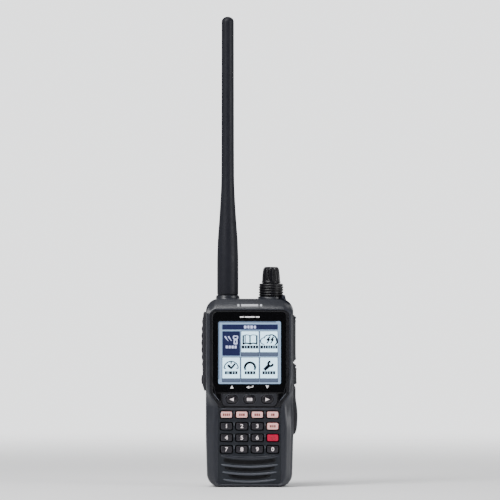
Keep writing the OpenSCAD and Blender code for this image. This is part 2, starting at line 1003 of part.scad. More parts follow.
module battery_pack() {
    color(case_colour)
        difference() {
            intersection() {
                case_volume(0, 0);
                block([-side_x, side_x], [pack_y, back_y], [0, shelf_z - gap]);
            }
            block([-26, 26], [pack_y - 1, pack_y + 1], [5, 95]);
            block([-24.5, 24.5], [pack_y, back_y - 1.8], [6.5, 93]);
            block(
                [-tooth_w / 2 - gap, tooth_w / 2 + gap],
                [pack_y - 1, rear_wall_y + latch_travel + gap],
                [latch_z[0] - 0.1, latch_z[1] + 0.1]
            );
        }
}

module battery_cells() {
    color([0.20, 0.35, 0.60])
        for (x = [-24.4, 0.1])
            along_z(6.6, 92.9)
                polygon(plate([x, pack_y + 1.1], [x + 24.3, back_y - 1.9], 3.5));
}

module battery_cover() {
    color(dark_colour)
        block([-26, 26], [pack_y, pack_y + 1], [5, 95]);
    color([0.80, 0.65, 0.30])
        for (i = [-1.5:1:1.5])
            rod_y(i * 7, [rear_wall_y, pack_y + eps], 88, 1.5);
}

module latch_pocket() {
    half = latch_w / 2 + gap;
    thumb_half = thumb_w / 2 + gap;
    block(
        [-half, half], [latch_y - latch_travel - gap, rear_wall_y + 1],
        [latch_z[0] - gap, latch_z[1] + gap]
    );
    block(
        [-thumb_half, thumb_half],
        [rear_wall_y - thumb_d - latch_travel - gap, rear_wall_y + 1], [-1, latch_z[0]]
    );
}

// Slider with a thumb ridge under it and a tooth that reaches into the pack
module battery_latch() {
    half = latch_w / 2;
    color(dark_colour) {
        block([-half, half], [latch_y, rear_wall_y - gap], latch_z);
        block(
            [-thumb_w / 2, thumb_w / 2], [rear_wall_y - thumb_d, rear_wall_y - gap],
            [gap, latch_z[0] + eps]
        );
        block(
            [-tooth_w / 2, tooth_w / 2], [rear_wall_y - gap - eps, rear_wall_y + latch_travel - 0.1],
            [latch_z[0] + 0.2, latch_z[1] - 0.2]
        );
    }
}

// ---- Belt clip ----

module clip_bracket() {
    half = bracket_w / 2;
    color(dark_colour)
        difference() {
            union() {
                along_y(back_y, back_y + 1.8)
                    polygon(plate([-half, 108], [half, 126], 2));
                for (s = [-1, 1])
                    along_x(s > 0 ? half - 3 : -half, s > 0 ? half : -half + 3)
                        polygon(rounded([
                            [back_y + 1, 112, 0], [back_y + 2, 112, 0],
                            [pin_y + eye_r, pin_z - 3.4, 2.4], [pin_y + eye_r, pin_z + 2.6, 2.4],
                            [back_y + 2, pin_z + 4.5, 1], [back_y + 1, pin_z + 4.5, 0]
                        ]));
            }
            rod_x([-half - 1, half + 1], pin_y, pin_z, clip_pin_r);
        }
}

module clip_pin() {
    color(metal_colour)
        rod_x([-bracket_w / 2, bracket_w / 2], pin_y, pin_z, clip_pin_r);
}

// Coils of the torsion spring, side by side on the pin
module clip_spring() {
    coils = 5;
    wire_r = 0.5;
    color(metal_colour)
        translate([-coils * wire_r, pin_y, pin_z])
            rotate([0, 90, 0])
                rotate_extrude()
                    polygon(concat(
                        [[clip_pin_r + 0.1, 0]],
                        [
                            for (i = [0:coils - 1], k = [0:4])
                                [
                                    clip_pin_r + 0.3 + wire_r * (1 + sin(45 * k)),
                                    2 * wire_r * (i + k / 4 * 0.98 + 0.01)
                                ]
                        ],
                        [[clip_pin_r + 0.1, 2 * wire_r * coils]]
                    ));
}

module belt_clip() {
    half = clip_w / 2;
    inner = pin_y - 0.6;
    color(dark_colour)
        difference() {
            union() {
                along_x(-half, half)
                    polygon(rounded([
                        [inner, pin_z + 10.5, 0.6],
                        [inner + arm_t, pin_z + 10.5, 0.6],
                        [inner + arm_t, clip_low + 5, 4],
                        [inner + arm_t - 1.2, clip_low, 0.6],
                        [inner - 1.6, clip_low, 0.8],
                        [back_y + 0.6, clip_low + 4, 0.8],
                        [inner, clip_low + 9, 3]
                    ]));
                rod_x([-half, half], pin_y, pin_z, eye_r);
            }
            rod_x([-half - 1, half + 1], pin_y, pin_z, clip_pin_r + run);
            rod_x([-3.2, 3.2], pin_y, pin_z, eye_r + 0.2);
            block([-3.2, 3.2], [back_y, pin_y], [pin_z - 3, pin_z + 3]);
        }
}

// ---- Nodes ----

front_case();
rear_case();
case_gasket();
display_window();
lcd_panel();
lcd_frame();
nav_panel();
key_mat();
main_board();
shield_can();
speaker();
microphone();
antenna_jack();
antenna_collar();
encoder_body();
encoder_nut();
ptt_surround();
side_switches();
audio_jacks();
power_jack();
side_pad();
battery_pack();
battery_cells();
battery_cover();
case_screws();
clip_bracket();
clip_pin();
clip_spring();
antenna_whip();
antenna_sleeve();
antenna_pin();
dial_knob();
dial_shaft();
volume_ring();
volume_shaft();
ptt_button();
monitor_key();
audio_cover();
power_cover();
battery_latch();
belt_clip();
for (i = [0:2])
    nav_key(i);
for (i = [0:15])
    keypad_key(i);
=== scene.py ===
from math import acos, atan2, copysign, cos, degrees, pi, radians, sin, sqrt, tan

import bmesh
import bpy
from mathutils import Matrix, Vector
from mathutils.bvhtree import BVHTree


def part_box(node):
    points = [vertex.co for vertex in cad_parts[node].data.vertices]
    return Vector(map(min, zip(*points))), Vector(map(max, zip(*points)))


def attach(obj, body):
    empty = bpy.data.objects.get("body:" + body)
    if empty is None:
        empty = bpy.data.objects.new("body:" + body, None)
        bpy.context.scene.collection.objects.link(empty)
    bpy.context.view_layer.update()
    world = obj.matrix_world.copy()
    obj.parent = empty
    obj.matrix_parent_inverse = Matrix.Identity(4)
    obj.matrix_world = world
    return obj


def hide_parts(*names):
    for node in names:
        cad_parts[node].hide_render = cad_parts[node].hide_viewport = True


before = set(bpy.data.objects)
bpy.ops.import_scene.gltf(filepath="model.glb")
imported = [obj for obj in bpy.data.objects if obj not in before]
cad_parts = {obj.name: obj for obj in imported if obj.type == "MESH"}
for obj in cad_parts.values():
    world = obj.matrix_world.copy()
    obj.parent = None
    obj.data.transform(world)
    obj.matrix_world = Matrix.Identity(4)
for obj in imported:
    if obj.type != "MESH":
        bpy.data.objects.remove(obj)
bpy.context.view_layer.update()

# Handheld aviation radio. Sizes are in millimetres in the frame of the CAD model, and
# become metres when a mesh is made. -Y is the front, +Z is up.

MM = 0.001


def box(node):
    """Lowest and highest corner of a CAD node, in millimetres."""
    low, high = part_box(node)
    return Vector(low) / MM, Vector(high) / MM


def centre(node):
    """Middle of a CAD node, in millimetres."""
    low, high = box(node)
    return (low + high) / 2


SIDE = box("front_case")[1].x
TOP = box("front_case")[1].z
FRONT = box("front_case")[0].y
BACK = box("battery_pack")[1].y
MID_Y = centre("ptt_button").y
WINDOW_FRONT = box("display_window")[0].y
WINDOW_SIDE = box("display_window")[1].x
WINDOW_TOP = box("display_window")[1].z
KEY_FRONT = box("key_1")[0].y
NAV_FRONT = box("nav_left")[0].y
ANTENNA = centre("antenna_whip")
KNOB = centre("dial_knob")

FIELD_SIDE = 22.2           # half width of the keypad and grille channel
FIELD_LOW = 2.4
SHOULDER = 9.0              # radius of the case's upper corners
LIP_Z = 55.3                # lip between the navigation keys and the keypad
BEZEL_SIDE = WINDOW_SIDE + 2.1
BEZEL_TOP = WINDOW_TOP + 1.4
BEZEL_TURN = 66.0           # height where the screen surround starts to narrow
BEZEL_LOW = 57.4
SCREEN_HALF = 22.1
SCREEN_Z = centre("lcd_panel").z

KEYS = [
    "soft_key_1", "soft_key_2", "soft_key_3", "soft_key_4",
    "key_1", "key_2", "key_3", "key_mode",
    "key_4", "key_5", "key_6", "key_red",
    "key_7", "key_8", "key_9", "key_0",
]
NAV_KEYS = ["nav_left", "nav_enter", "nav_right"]


# ---- Materials ----

def feed(nt, node, inputs):
    """Sets inputs of a shader node, each to a number, a colour or another node's output."""
    for name, value in inputs.items():
        if isinstance(value, bpy.types.NodeSocket):
            nt.links.new(value, node.inputs[name])
        else:
            node.inputs[name].default_value = value


def add(nt, kind, inputs, **settings):
    """Outputs of a new shader node."""
    node = nt.nodes.new("ShaderNode" + kind)
    for name, value in settings.items():
        setattr(node, name, value)
    feed(nt, node, inputs)
    return node.outputs


def noise(nt, vector, size, detail):
    """Noise whose blotches are about size millimetres across."""
    return add(nt, "TexNoise", {"Vector": vector, "Scale": 1 / (size * MM), "Detail": detail})["Fac"]


def remap(nt, value, low, high, start, end, kind="SMOOTHSTEP"):
    """Goes from start to end as a value goes from low to high."""
    inputs = {"Value": value, "From Min": low, "From Max": high, "To Min": start, "To Max": end}
    return add(nt, "MapRange", inputs, interpolation_type=kind)["Result"]


def mix(nt, factor, a, b):
    return add(nt, "Mix", {"Factor": factor, "A": a, "B": b}, data_type="RGBA")["Result"]


def shade(colour, factor):
    return (*(min(1.0, c * factor) for c in colour), 1)


def surface(
    name, colour, rough, *, tint=0.1, blotch=9, grain=0, grain_size=0.3, metal=0, coat=0,
    wear=0, stretch=None, glow=0, soft=0, rough_spread=0.06, gloss=0.5,
):
    """A moulded, rubber or metal surface: colour drift, uneven gloss, fine grain and worn edges."""
    mat = bpy.data.materials.new(name)
    mat.use_nodes = True
    nt = mat.node_tree
    shader = nt.nodes["Principled BSDF"]
    where = add(nt, "TexCoord", {})["Object"]
    if stretch:
        where = add(nt, "Mapping", {"Vector": where, "Scale": stretch})["Vector"]
    drift = noise(nt, where, blotch, 4)
    paint = mix(nt, drift, shade(colour, 1 - tint), shade(colour, 1 + tint))
    if wear:
        edge = nt.nodes.new("ShaderNodeValToRGB")
        flat, worn = edge.color_ramp.elements
        flat.position, worn.position = 0.52, 0.60
        worn.color = (wear, wear, wear, 1)
        feed(nt, edge, {"Fac": add(nt, "NewGeometry", {})["Pointiness"]})
        paint = mix(nt, edge.outputs["Color"], paint, shade(colour, 2.6))
    least, most = rough - rough_spread, rough + rough_spread
    patches = noise(nt, where, blotch * 0.4, 5)
    feed(nt, shader, {
        "Base Color": paint, "Metallic": metal, "Specular IOR Level": gloss, "Coat Weight": coat,
        "Coat Roughness": 0.08, "Roughness": remap(nt, patches, 0.3, 0.7, least, most, "LINEAR"),
    })
    if grain:
        height = noise(nt, where, grain_size, 3)
        bump = add(nt, "Bump", {"Strength": grain, "Distance": 0.06 * MM, "Height": height})
        feed(nt, shader, {"Normal": bump["Normal"]})
    if soft:
        feed(nt, shader, {"Subsurface Weight": soft, "Subsurface Scale": MM})
    if glow:
        feed(nt, shader, {"Emission Color": paint, "Emission Strength": glow})
    return mat


def printed(name, colour, rough=0.5, tint=0.05):
    """Ink printed on a key or on the case."""
    return surface(name, colour, rough, tint=tint, blotch=1, grain=0.2)


def lit(name, colour, glow, tint=0.1, blotch=6, gloss=0.1):
    """Part of the picture on the lit screen."""
    return surface(name, colour, 0.25, tint=tint, blotch=blotch, glow=glow, gloss=gloss)


CASE = surface(
    "case_plastic", (0.0098, 0.0112, 0.0175), 0.35, grain=0.4, grain_size=0.22, wear=0.5,
    rough_spread=0.02,
)
FIELD = surface(
    "field_plastic", (0.0095, 0.0115, 0.016), 0.46, grain=0.5, grain_size=0.2, wear=0.4, gloss=0.28
)
# Lighter copy of the case plastic: its colour is a painted highlight on the grille lips, the window
# beads and the keypad pips.
PAINTED_HIGHLIGHT_PLASTIC = surface("ridge_painted_highlight", (0.036, 0.04, 0.05), 0.33, grain=0.3, grain_size=0.2, wear=0.8)
BEZEL = surface(
    "bezel_plastic", (0.006, 0.006, 0.008), 0.3, grain=0.2, grain_size=0.2, wear=0.5, gloss=0.35
)
RUBBER = surface(
    "side_rubber", (0.018, 0.018, 0.0225), 0.52, grain=0.9, grain_size=0.35, wear=0.8, gloss=0.3
)
WHIP = surface(
    "antenna_rubber", (0.0095, 0.01, 0.0145), 0.46, tint=0.2, grain=0.35, blotch=14, gloss=0.2
)
KNOB_RUBBER = surface("knob_rubber", (0.004, 0.0038, 0.0056), 0.31, grain=0.05, wear=0.4, gloss=0.32)
DARK = surface("dark_nylon", (0.012, 0.012, 0.014), 0.5, grain=0.6, grain_size=0.4, wear=0.6)
SEAL = surface("seal_rubber", (0.004, 0.0043, 0.0062), 0.6, grain=0.4, gloss=0.3)
GLOSS = surface("window_gloss", (0.0015, 0.0015, 0.002), 0.05, tint=0.3, rough_spread=0.02, gloss=0.4)
NAV_TRIM = surface("nav_trim", (0.014, 0.0145, 0.019), 0.34, grain=0.3, wear=0.8, gloss=0.4)
NAV_KEY = surface("nav_key_rubber", (0.007, 0.006, 0.009), 0.3, grain=0.2, wear=0.5, gloss=0.4)
PALE_KEY = surface(
    "pale_key_rubber", (0.86, 0.47, 0.44), 0.45, tint=0.05, blotch=3, grain=0.3, soft=0.15,
    gloss=0.3,
)
DARK_KEY = surface("dark_key_rubber", (0.013, 0.012, 0.016), 0.4, grain=0.4, wear=0.9, gloss=0.35)
RED_KEY = surface(
    "red_key_rubber", (0.42, 0.008, 0.042), 0.45, tint=0.06, blotch=3, grain=0.3, gloss=0.15
)
STEEL = surface("brushed_steel", (0.5, 0.5, 0.52), 0.32, metal=1, grain=0.3, stretch=(1, 1, 9))
BLACK_STEEL = surface("black_steel", (0.045, 0.045, 0.05), 0.34, metal=1, grain=0.3)
NICKEL = surface("nickel_plate", (0.62, 0.6, 0.56), 0.22, metal=1, grain=0.15)
GOLD = surface("gold_plate", (0.8, 0.56, 0.22), 0.25, metal=1, grain=0.15)
LIGHT_METAL = surface("cast_frame", (0.45, 0.46, 0.48), 0.45, metal=0.8, grain=0.5)
BOARD = surface("board_lacquer", (0.015, 0.12, 0.05), 0.35, tint=0.2, blotch=2, grain=0.3)
CELL = surface("cell_wrap", (0.05, 0.14, 0.36), 0.3, tint=0.08, coat=0.3, grain=0.2)
PRINT_WHITE = printed("white_print", (0.9, 0.88, 0.88), tint=0.03)
PRINT_PINK = printed("pink_print", (0.9, 0.8, 0.82), tint=0.04)
PRINT_DARK = printed("dark_print", (0.2, 0.05, 0.045), tint=0.10)
PRINT_GREY = printed("grey_print", (0.42, 0.43, 0.46), 0.45)
SCREEN_LIGHT = lit("screen_ground", (0.18, 0.27, 0.4), 0.8, blotch=30, gloss=0.2)
SCREEN_CELL = lit("screen_cell", (0.5, 0.76, 0.93), 1.5, tint=0.05, blotch=9, gloss=0.2)
SCREEN_WHITE = lit("screen_white", (0.5, 0.54, 0.82), 0.35, tint=0.05, blotch=9)
SCREEN_NAVY = lit("screen_navy", (0.012, 0.015, 0.05), 0.5, tint=0.14)
SCREEN_GREY = lit("screen_grey", (0.075, 0.095, 0.145), 0.4)
SCREEN_INK = lit("screen_ink", (0.006, 0.008, 0.016), 0.3, tint=0.15)


# ---- Mesh helpers ----

def new_object(name, data, place=None, facing=None):
    """New object in the scene. A light or camera is put in its place and looks along facing."""
    obj = bpy.data.objects.new(name, data)
    bpy.context.scene.collection.objects.link(obj)
    if place:
        obj.location = place
        obj.rotation_mode = "QUATERNION"
        obj.rotation_quaternion = Vector(facing).to_track_quat("-Z", "Y")
    return obj


def finish_mesh(name, mesh, material, body="housing", angle=38, node=None):
    """Makes a mesh in millimetres into a smooth-shaded piece that rides on a body.

    node is the CAD node that it replaces."""
    mesh.transform(Matrix.Scale(MM, 4))
    bm = bmesh.new()
    bm.from_mesh(mesh)
    bmesh.ops.remove_doubles(bm, verts=bm.verts, dist=0.002 * MM)
    bmesh.ops.recalc_face_normals(bm, faces=bm.faces)
    bm.to_mesh(mesh)
    bm.free()
    mesh.shade_smooth()
    mesh.set_sharp_from_angle(angle=radians(angle))
    mesh.materials.clear()
    mesh.materials.append(material)
    obj = new_object(name, mesh)
    weighted = obj.modifiers.new("Weighted normals", "WEIGHTED_NORMAL")
    weighted.keep_sharp = True
    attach(obj, body)
    if node:
        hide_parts(node)
    return obj


def solid(name, parts, material, body="housing", angle=38, node=None):
    """One piece from closed parts, each a (vertices, faces) pair in millimetres."""
    verts, faces = [], []
    for part_verts, part_faces in parts:
        start = len(verts)
        verts += [tuple(v) for v in part_verts]
        faces += [tuple(start + i for i in face) for face in part_faces]
    mesh = bpy.data.meshes.new(name)
    mesh.from_pydata(verts, [], faces)
    return finish_mesh(name, mesh, material, body, angle, node)


def loft(rings, cyclic=False):
    """Closed skin through rings of equal length, capped at both ends unless cyclic."""
    n = len(rings[0])
    verts = [p for ring in rings for p in ring]
    faces = []
    last = len(rings) if cyclic else len(rings) - 1
    for k in range(last):
        a, b = k * n, (k + 1) % len(rings) * n
        faces += [(a + i, a + (i + 1) % n, b + (i + 1) % n, b + i) for i in range(n)]
    if not cyclic:
        faces.append(tuple(range(n)))
        faces.append(tuple((len(rings) - 1) * n + i for i in reversed(range(n))))
    return verts, faces


def corner_arc(before, corner, after, steps):
    """Points of an arc of radius corner[2] in place of the corner."""
    here = Vector(corner[:2])
    if len(corner) < 3:
        return [tuple(here)]
    radius = corner[2]
    u = (Vector(before[:2]) - here).normalized()
    v = (Vector(after[:2]) - here).normalized()
    half = acos(max(-1, min(1, u.dot(v)))) / 2
    middle = here + (u + v).normalized() * radius / sin(half)
    start = here + u * radius / tan(half) - middle
    end = here + v * radius / tan(half) - middle
    a0 = atan2(start.y, start.x)
    turn = (atan2(end.y, end.x) - a0 + 3 * pi) % (2 * pi) - pi
    return arc(*middle, radius, degrees(a0), degrees(a0 + turn), steps)


def rounded(corners, steps=8, closed=True):
    """Outline through corners (a, b, radius). An open one keeps its two ends."""
    n = len(corners)
    points = []
    for i, corner in enumerate(corners):
        if not closed and i in (0, n - 1):
            points.append(tuple(corner[:2]))
        else:
            points += corner_arc(corners[i - 1], corner, corners[(i + 1) % n], steps)
    return points


def mirrored(half, steps=8):
    """Symmetric outline from the corners of its right half."""
    return rounded(half + [(-c[0], *c[1:]) for c in reversed(half)], steps)


def rectangle(x, z, w, h, r, steps=6):
    """Rounded rectangle centred on (x, z)."""
    r = max(0.02, min(r, w / 2 - 0.01, h / 2 - 0.01))
    a, b = w / 2, h / 2
    corners = [(x - a, z - b, r), (x + a, z - b, r), (x + a, z + b, r), (x - a, z + b, r)]
    return rounded(corners, steps)


def around(node, w, h, r, steps=6):
    """Rounded rectangle on the middle of a CAD node, seen from the front."""
    middle = centre(node)
    return rectangle(middle.x, middle.z, w, h, r, steps)


def curve_mesh(curve):
    """Mesh made from a curve or a text, which is then removed."""
    draft = new_object("draft", curve)
    bpy.context.view_layer.update()
    made = draft.evaluated_get(bpy.context.evaluated_depsgraph_get())
    mesh = bpy.data.meshes.new_from_object(made)
    bpy.data.objects.remove(draft)
    bpy.data.curves.remove(curve)
    return mesh


def plate(name, outline, holes, near, far, bevel, material, axis="y", shape=None, node=None):
    """Plate with holes and rounded edges on the housing, between near and far along an axis.

    The outline is drawn as (x, z) for axis y, and as (y, z) for axis x. shape moves each vertex."""
    curve = bpy.data.curves.new(name, "CURVE")
    curve.dimensions = "2D"
    curve.fill_mode = "BOTH"
    curve.extrude = abs(far - near) / 2 - bevel
    curve.bevel_depth = bevel
    curve.offset = -bevel
    curve.bevel_resolution = 2
    for loop in [outline, *holes]:
        spline = curve.splines.new("POLY")
        spline.points.add(len(loop) - 1)
        for point, (a, b) in zip(spline.points, loop):
            point.co = (a, b, 0, 1)
        spline.use_cyclic_u = True
    mesh = curve_mesh(curve)
    middle = (near + far) / 2
    for vertex in mesh.vertices:
        a, b, c = vertex.co
        point = Vector((a, middle + c, b)) if axis == "y" else Vector((middle + c, a, b))
        vertex.co = shape(point) if shape else point
    finish_mesh(name, mesh, material, node=node)


def turns(count):
    """Equal angles once round."""
    return [2 * pi * k / count for k in range(count)]


def lathe(profile, at, segments):
    """Closed solid turned about a vertical axis through at, from (radius, z) points."""
    verts, faces = [], []
    n = len(profile)
    for s, angle in enumerate(turns(segments)):
        verts += [(at.x + r * cos(angle), at.y + r * sin(angle), z) for r, z in profile]
        a, b = s * n, (s + 1) % segments * n
        faces += [(a + i, b + i, b + (i + 1) % n, a + (i + 1) % n) for i in range(n)]
    return verts, faces


def rod(start, end, radius, segments=28, rim=0.15):
    """Round bar with softened ends."""
    start, end = Vector(start), Vector(end)
    along = (end - start).normalized()
    side = along.orthogonal().normalized()
    up = along.cross(side)
    length = (end - start).length
    return loft([
        [start + along * t + r * (side * cos(a) + up * sin(a)) for a in turns(segments)]
        for t, r in ((0, radius - rim), (rim, radius), (length - rim, radius), (length, radius - rim))
    ])


def prism(outline, near, far):
    """Flat-sided solid from an (x, z) outline, between two depths."""
    return loft([[(x, near, z) for x, z in outline], [(x, far, z) for x, z in outline]])


def stroke(points, width, near, far, closed):
    """Ribbon of the given width along (x, z) points, as short overlapping prisms."""
    parts = []
    for a, b in zip(points, points[1:] + points[:1] if closed else points[1:]):
        a, b = Vector(a), Vector(b)
        along = (b - a).normalized() * width
        across = along.orthogonal() / 2
        a, b = a - along * 0.2, b + along * 0.2
        parts.append(prism([a - across, b - across, b + across, a + across], near, far))
    return parts


def arc(x, z, radius, start, end, steps):
    """Points of an arc round (x, z) between two angles in degrees."""
    angles = (radians(start + (end - start) * k / steps) for k in range(steps + 1))
    return [(x + radius * cos(a), z + radius * sin(a)) for a in angles]


def refine(node, material, bevel, body="housing"):
    """Copy of a CAD node with its flat faces cleaned and its edges rounded, in its place."""
    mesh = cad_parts[node].data.copy()
    mesh.name = node + "_moulded"
    mesh.transform(Matrix.Scale(1 / MM, 4))
    bm = bmesh.new()
    bm.from_mesh(mesh)
    bmesh.ops.remove_doubles(bm, verts=bm.verts, dist=0.003)
    bmesh.ops.dissolve_limit(bm, angle_limit=radians(1.5), verts=bm.verts, edges=bm.edges)
    sharp = [
        e for e in bm.edges
        if len(e.link_faces) == 2 and e.calc_face_angle(0) > radians(32)
    ]
    bmesh.ops.bevel(
        bm, geom=sharp, offset=bevel, segments=2, profile=0.6, affect="EDGES", clamp_overlap=True
    )
    bm.to_mesh(mesh)
    bm.free()
    finish_mesh(mesh.name, mesh, material, body, 34, node)


def smooth_step(low, high, value):
    t = max(0.0, min(1.0, (value - low) / (high - low)))
    return t * t * (3 - 2 * t)


def interpolate(table, x):
    """Smooth curve through the (x, value) points of a short table."""
    x = max(table[0][0], min(table[-1][0], x))
    i = max(k for k, point in enumerate(table[:-1]) if point[0] <= x)
    (x0, y0), (x1, y1) = table[i], table[i + 1]
    before, after = table[max(i - 1, 0)], table[min(i + 2, len(table) - 1)]
    m0 = (y1 - before[1]) / (x1 - before[0]) * (x1 - x0)
    m1 = (after[1] - y0) / (after[0] - x0) * (x1 - x0)
    t = (x - x0) / (x1 - x0)
    return (
        y0 * (1 + 2 * t) * (1 - t) ** 2 + m0 * t * (1 - t) ** 2
        + y1 * t * t * (3 - 2 * t) + m1 * t * t * (t - 1)
    )


# ---- Front case ----

# Points from one anchor of an outline to the next, alike for both outlines so that they pair up.
SPACING = [8, 22, 12, 10, 10, 22, 22, 10]


def outline_ring(corners, anchors):
    """Ring of points along an outline, given by the corners and anchors of its right half."""
    path = [Vector(p) for p in rounded(corners, 16, closed=False)]
    lengths = [0.0]
    for a, b in zip(path, path[1:]):
        lengths.append(lengths[-1] + (b - a).length)

    def place(anchor):
        found = []
        for start, a, b in zip(lengths, path, path[1:]):
            t = max(0.0, min(1.0, (Vector(anchor) - a).dot(b - a) / (b - a).length_squared))
            found.append(((a.lerp(b, t) - Vector(anchor)).length, start + t * (b - a).length))
        return min(found)[1]

    def at(distance):
        i = next((k for k, end in enumerate(lengths[1:-1]) if distance <= end), len(path) - 2)
        t = min(1.0, (distance - lengths[i]) / (lengths[i + 1] - lengths[i]))
        return path[i].lerp(path[i + 1], t)

    stops = [place(a) for a in anchors]
    half = []
    for start, end, count in zip(stops, stops[1:], SPACING):
        half += [at(start + (end - start) * k / count) for k in range(count)]
    half.append(at(stops[-1]))
    return half + [Vector((-p.x, p.y)) for p in reversed(half[1:-1])]


OUTER = outline_ring([
    (0, 0), (SIDE - 1, 0, 9.5), (SIDE, 36, 30), (SIDE, TOP, SHOULDER), (0, TOP),
], [
    (0, 0), (21, 0), (30.2, 11), (SIDE, 36), (SIDE, 57), (SIDE, 68), (SIDE, 118),
    (SIDE - SHOULDER, TOP), (0, TOP),
])
INNER = outline_ring([
    (0, FIELD_LOW), (FIELD_SIDE, FIELD_LOW, 2.4), (FIELD_SIDE, BEZEL_LOW, 4),
    (BEZEL_SIDE, BEZEL_TURN, 4), (BEZEL_SIDE, BEZEL_TOP, 4), (0, BEZEL_TOP),
], [
    (0, FIELD_LOW), (19, FIELD_LOW), (FIELD_SIDE, 11), (FIELD_SIDE, 36), (FIELD_SIDE, 56),
    (BEZEL_SIDE, 68), (BEZEL_SIDE, 118), (23.5, BEZEL_TOP), (0, BEZEL_TOP),
])

# Share of the way from the outer edge to the opening, then the depth behind the front plane
# on the sides and on the sloped band at the top.
FRONT_PROFILE = [
    (0, 11, 11), (0, 7.4, 7.6), (0.004, 6, 7.1), (0.012, 5, 6.9),
    (0.03, 4.1, 6.7), (0.06, 3.25, 6.4), (0.1, 2.6, 6.05), (0.16, 2.1, 5.5),
    (0.24, 1.68, 4.8), (0.34, 1.3, 3.95), (0.48, 0.86, 2.8), (0.64, 0.48, 1.6),
    (0.8, 0.18, 0.62), (0.9, 0.04, 0.14), (0.96, 0, 0.02), (0.99, 0.08, 0.08),
    (1, 0.28, 0.28), (1, 1.8, 1.8), (0.96, 2.6, 2.6), (0.72, 3.4, 5),
    (0.7, 11, 11),
]


def front_shell():
    """Rails, sloped top band and base of the front case, as one shell round the opening."""
    rings = []
    for share, side_depth, top_depth in FRONT_PROFILE:
        ring = []
        for outer, inner in zip(OUTER, INNER):
            p = outer.lerp(inner, share)
            on_top = smooth_step(TOP - 10, TOP - 1, outer.y)
            depth = side_depth + (top_depth - side_depth) * on_top
            if 0.6 < share and depth < 0.6:
                beside_keys = 1 - smooth_step(BEZEL_LOW - 2, BEZEL_LOW + 5, inner.y)
                depth += (0.5 * smooth_step(0.5, 1.0, share) - depth) * beside_keys
            if 0.1 < share < 0.9:
                flat = smooth_step(68, 80, p.y) * (1 - on_top)
                depth *= 1 - 0.6 * flat * smooth_step(0.1, 0.25, share)
            if depth < 7.2:
                flare = smooth_step(40, 60, p.y) * (1 - smooth_step(64, 74, p.y))
                outside = 1 - smooth_step(0.1, 0.85, share)
                crown = 2.8 if p.x > 0 else 0.5
                depth += (2.4 * flare + crown * on_top * (p.x / SIDE) ** 2) * outside
            ring.append((p.x, FRONT + depth, p.y))
        rings.append(ring)
    skin = [loft(rings, cyclic=True)]
    band_mark(solid("front_shell", skin, CASE, angle=50, node="front_case"))


def band_mark(shell):
    """Generic light mark that follows the slope of the top band."""
    tree = BVHTree.FromPolygons(
        [v.co for v in shell.data.vertices], [tuple(p.vertices) for p in shell.data.polygons]
    )
    parts = []
    for left, right in ((-8.6, -7.2), (-5.9, 6.1), (7.4, 8.8)):
        rings = []
        for k in range(9):
            z = 127.8 + 1.5 * k / 8
            start = Vector(((left + right) / 2, FRONT - 5, z)) * MM
            y = tree.ray_cast(start, Vector((0, 1, 0)))[0].y / MM
            rings.append([
                (left, y - 0.03, z), (right, y - 0.03, z), (right, y + 0.08, z), (left, y + 0.08, z)
            ])
        parts.append(loft(rings))
    solid("band_mark", parts, PRINT_GREY)


def nav_outline(grow):
    low, high = box("nav_panel")
    edge = high.x - 0.1 + grow
    return mirrored([(edge, low.z + 0.1 - grow, 3.4), (edge, high.z + grow, 1.0)])


def window_outline(grow):
    return mirrored([
        (19.8 - grow, 66.6 - grow, 0.5), (19.8 - grow, 61 - grow),
        (21.2 + grow / 2, 61 - grow, 0.4), (WINDOW_SIDE + grow, 67.2, 2),
        (WINDOW_SIDE + grow, WINDOW_TOP + grow, 3 + grow),
    ])


def bezel():
    """Dark surround between the case and the window, narrowing below the screen."""
    outline = mirrored([
        (FIELD_SIDE - 0.3, BEZEL_LOW - 0.9, 1), (FIELD_SIDE - 0.1, BEZEL_LOW, 4),
        (BEZEL_SIDE - 0.08, BEZEL_TURN, 4), (BEZEL_SIDE - 0.08, BEZEL_TOP - 0.08, 4),
    ], 10)
    openings = [window_outline(0.12), nav_outline(0.75)]
    plate("bezel_surround", outline, openings, FRONT + 0.22, FRONT + 2.4, 0.34, BEZEL)
    y = FRONT + 0.27
    # Thin beads along the lower diagonals of the surround, in the lighter plastic: a painted glint on
    # the bezel's edge.
    beads = [rod((s * 21.6, y, 61.3), (s * 25.6, y, 66.2), 0.2, 16, 0.12) for s in (-1, 1)]
    solid("window_beads_painted_glint", beads, PAINTED_HIGHLIGHT_PLASTIC, angle=60)
    keys = [around(name, 9.3, 6.7, 3.3, 10) for name in NAV_KEYS]
    plate("nav_groove", nav_outline(1.4), keys, FRONT + 1.15, FRONT + 2.1, 0.1, SEAL)


def display():
    """Glossy window with its opening, and the lit screen behind it."""
    side = 2 * SCREEN_HALF
    plate(
        "display_lens", window_outline(0), [rectangle(0, SCREEN_Z, side, side, 1.0)],
        WINDOW_FRONT, WINDOW_FRONT + 1.5, 0.16, GLOSS, node="display_window",
    )
    plate(
        "screen_ground", rectangle(0, SCREEN_Z, side + 0.6, side + 0.6, 1.2), [],
        WINDOW_FRONT + 0.22, WINDOW_FRONT + 1.6, 0.1, SCREEN_LIGHT, node="lcd_panel",
    )


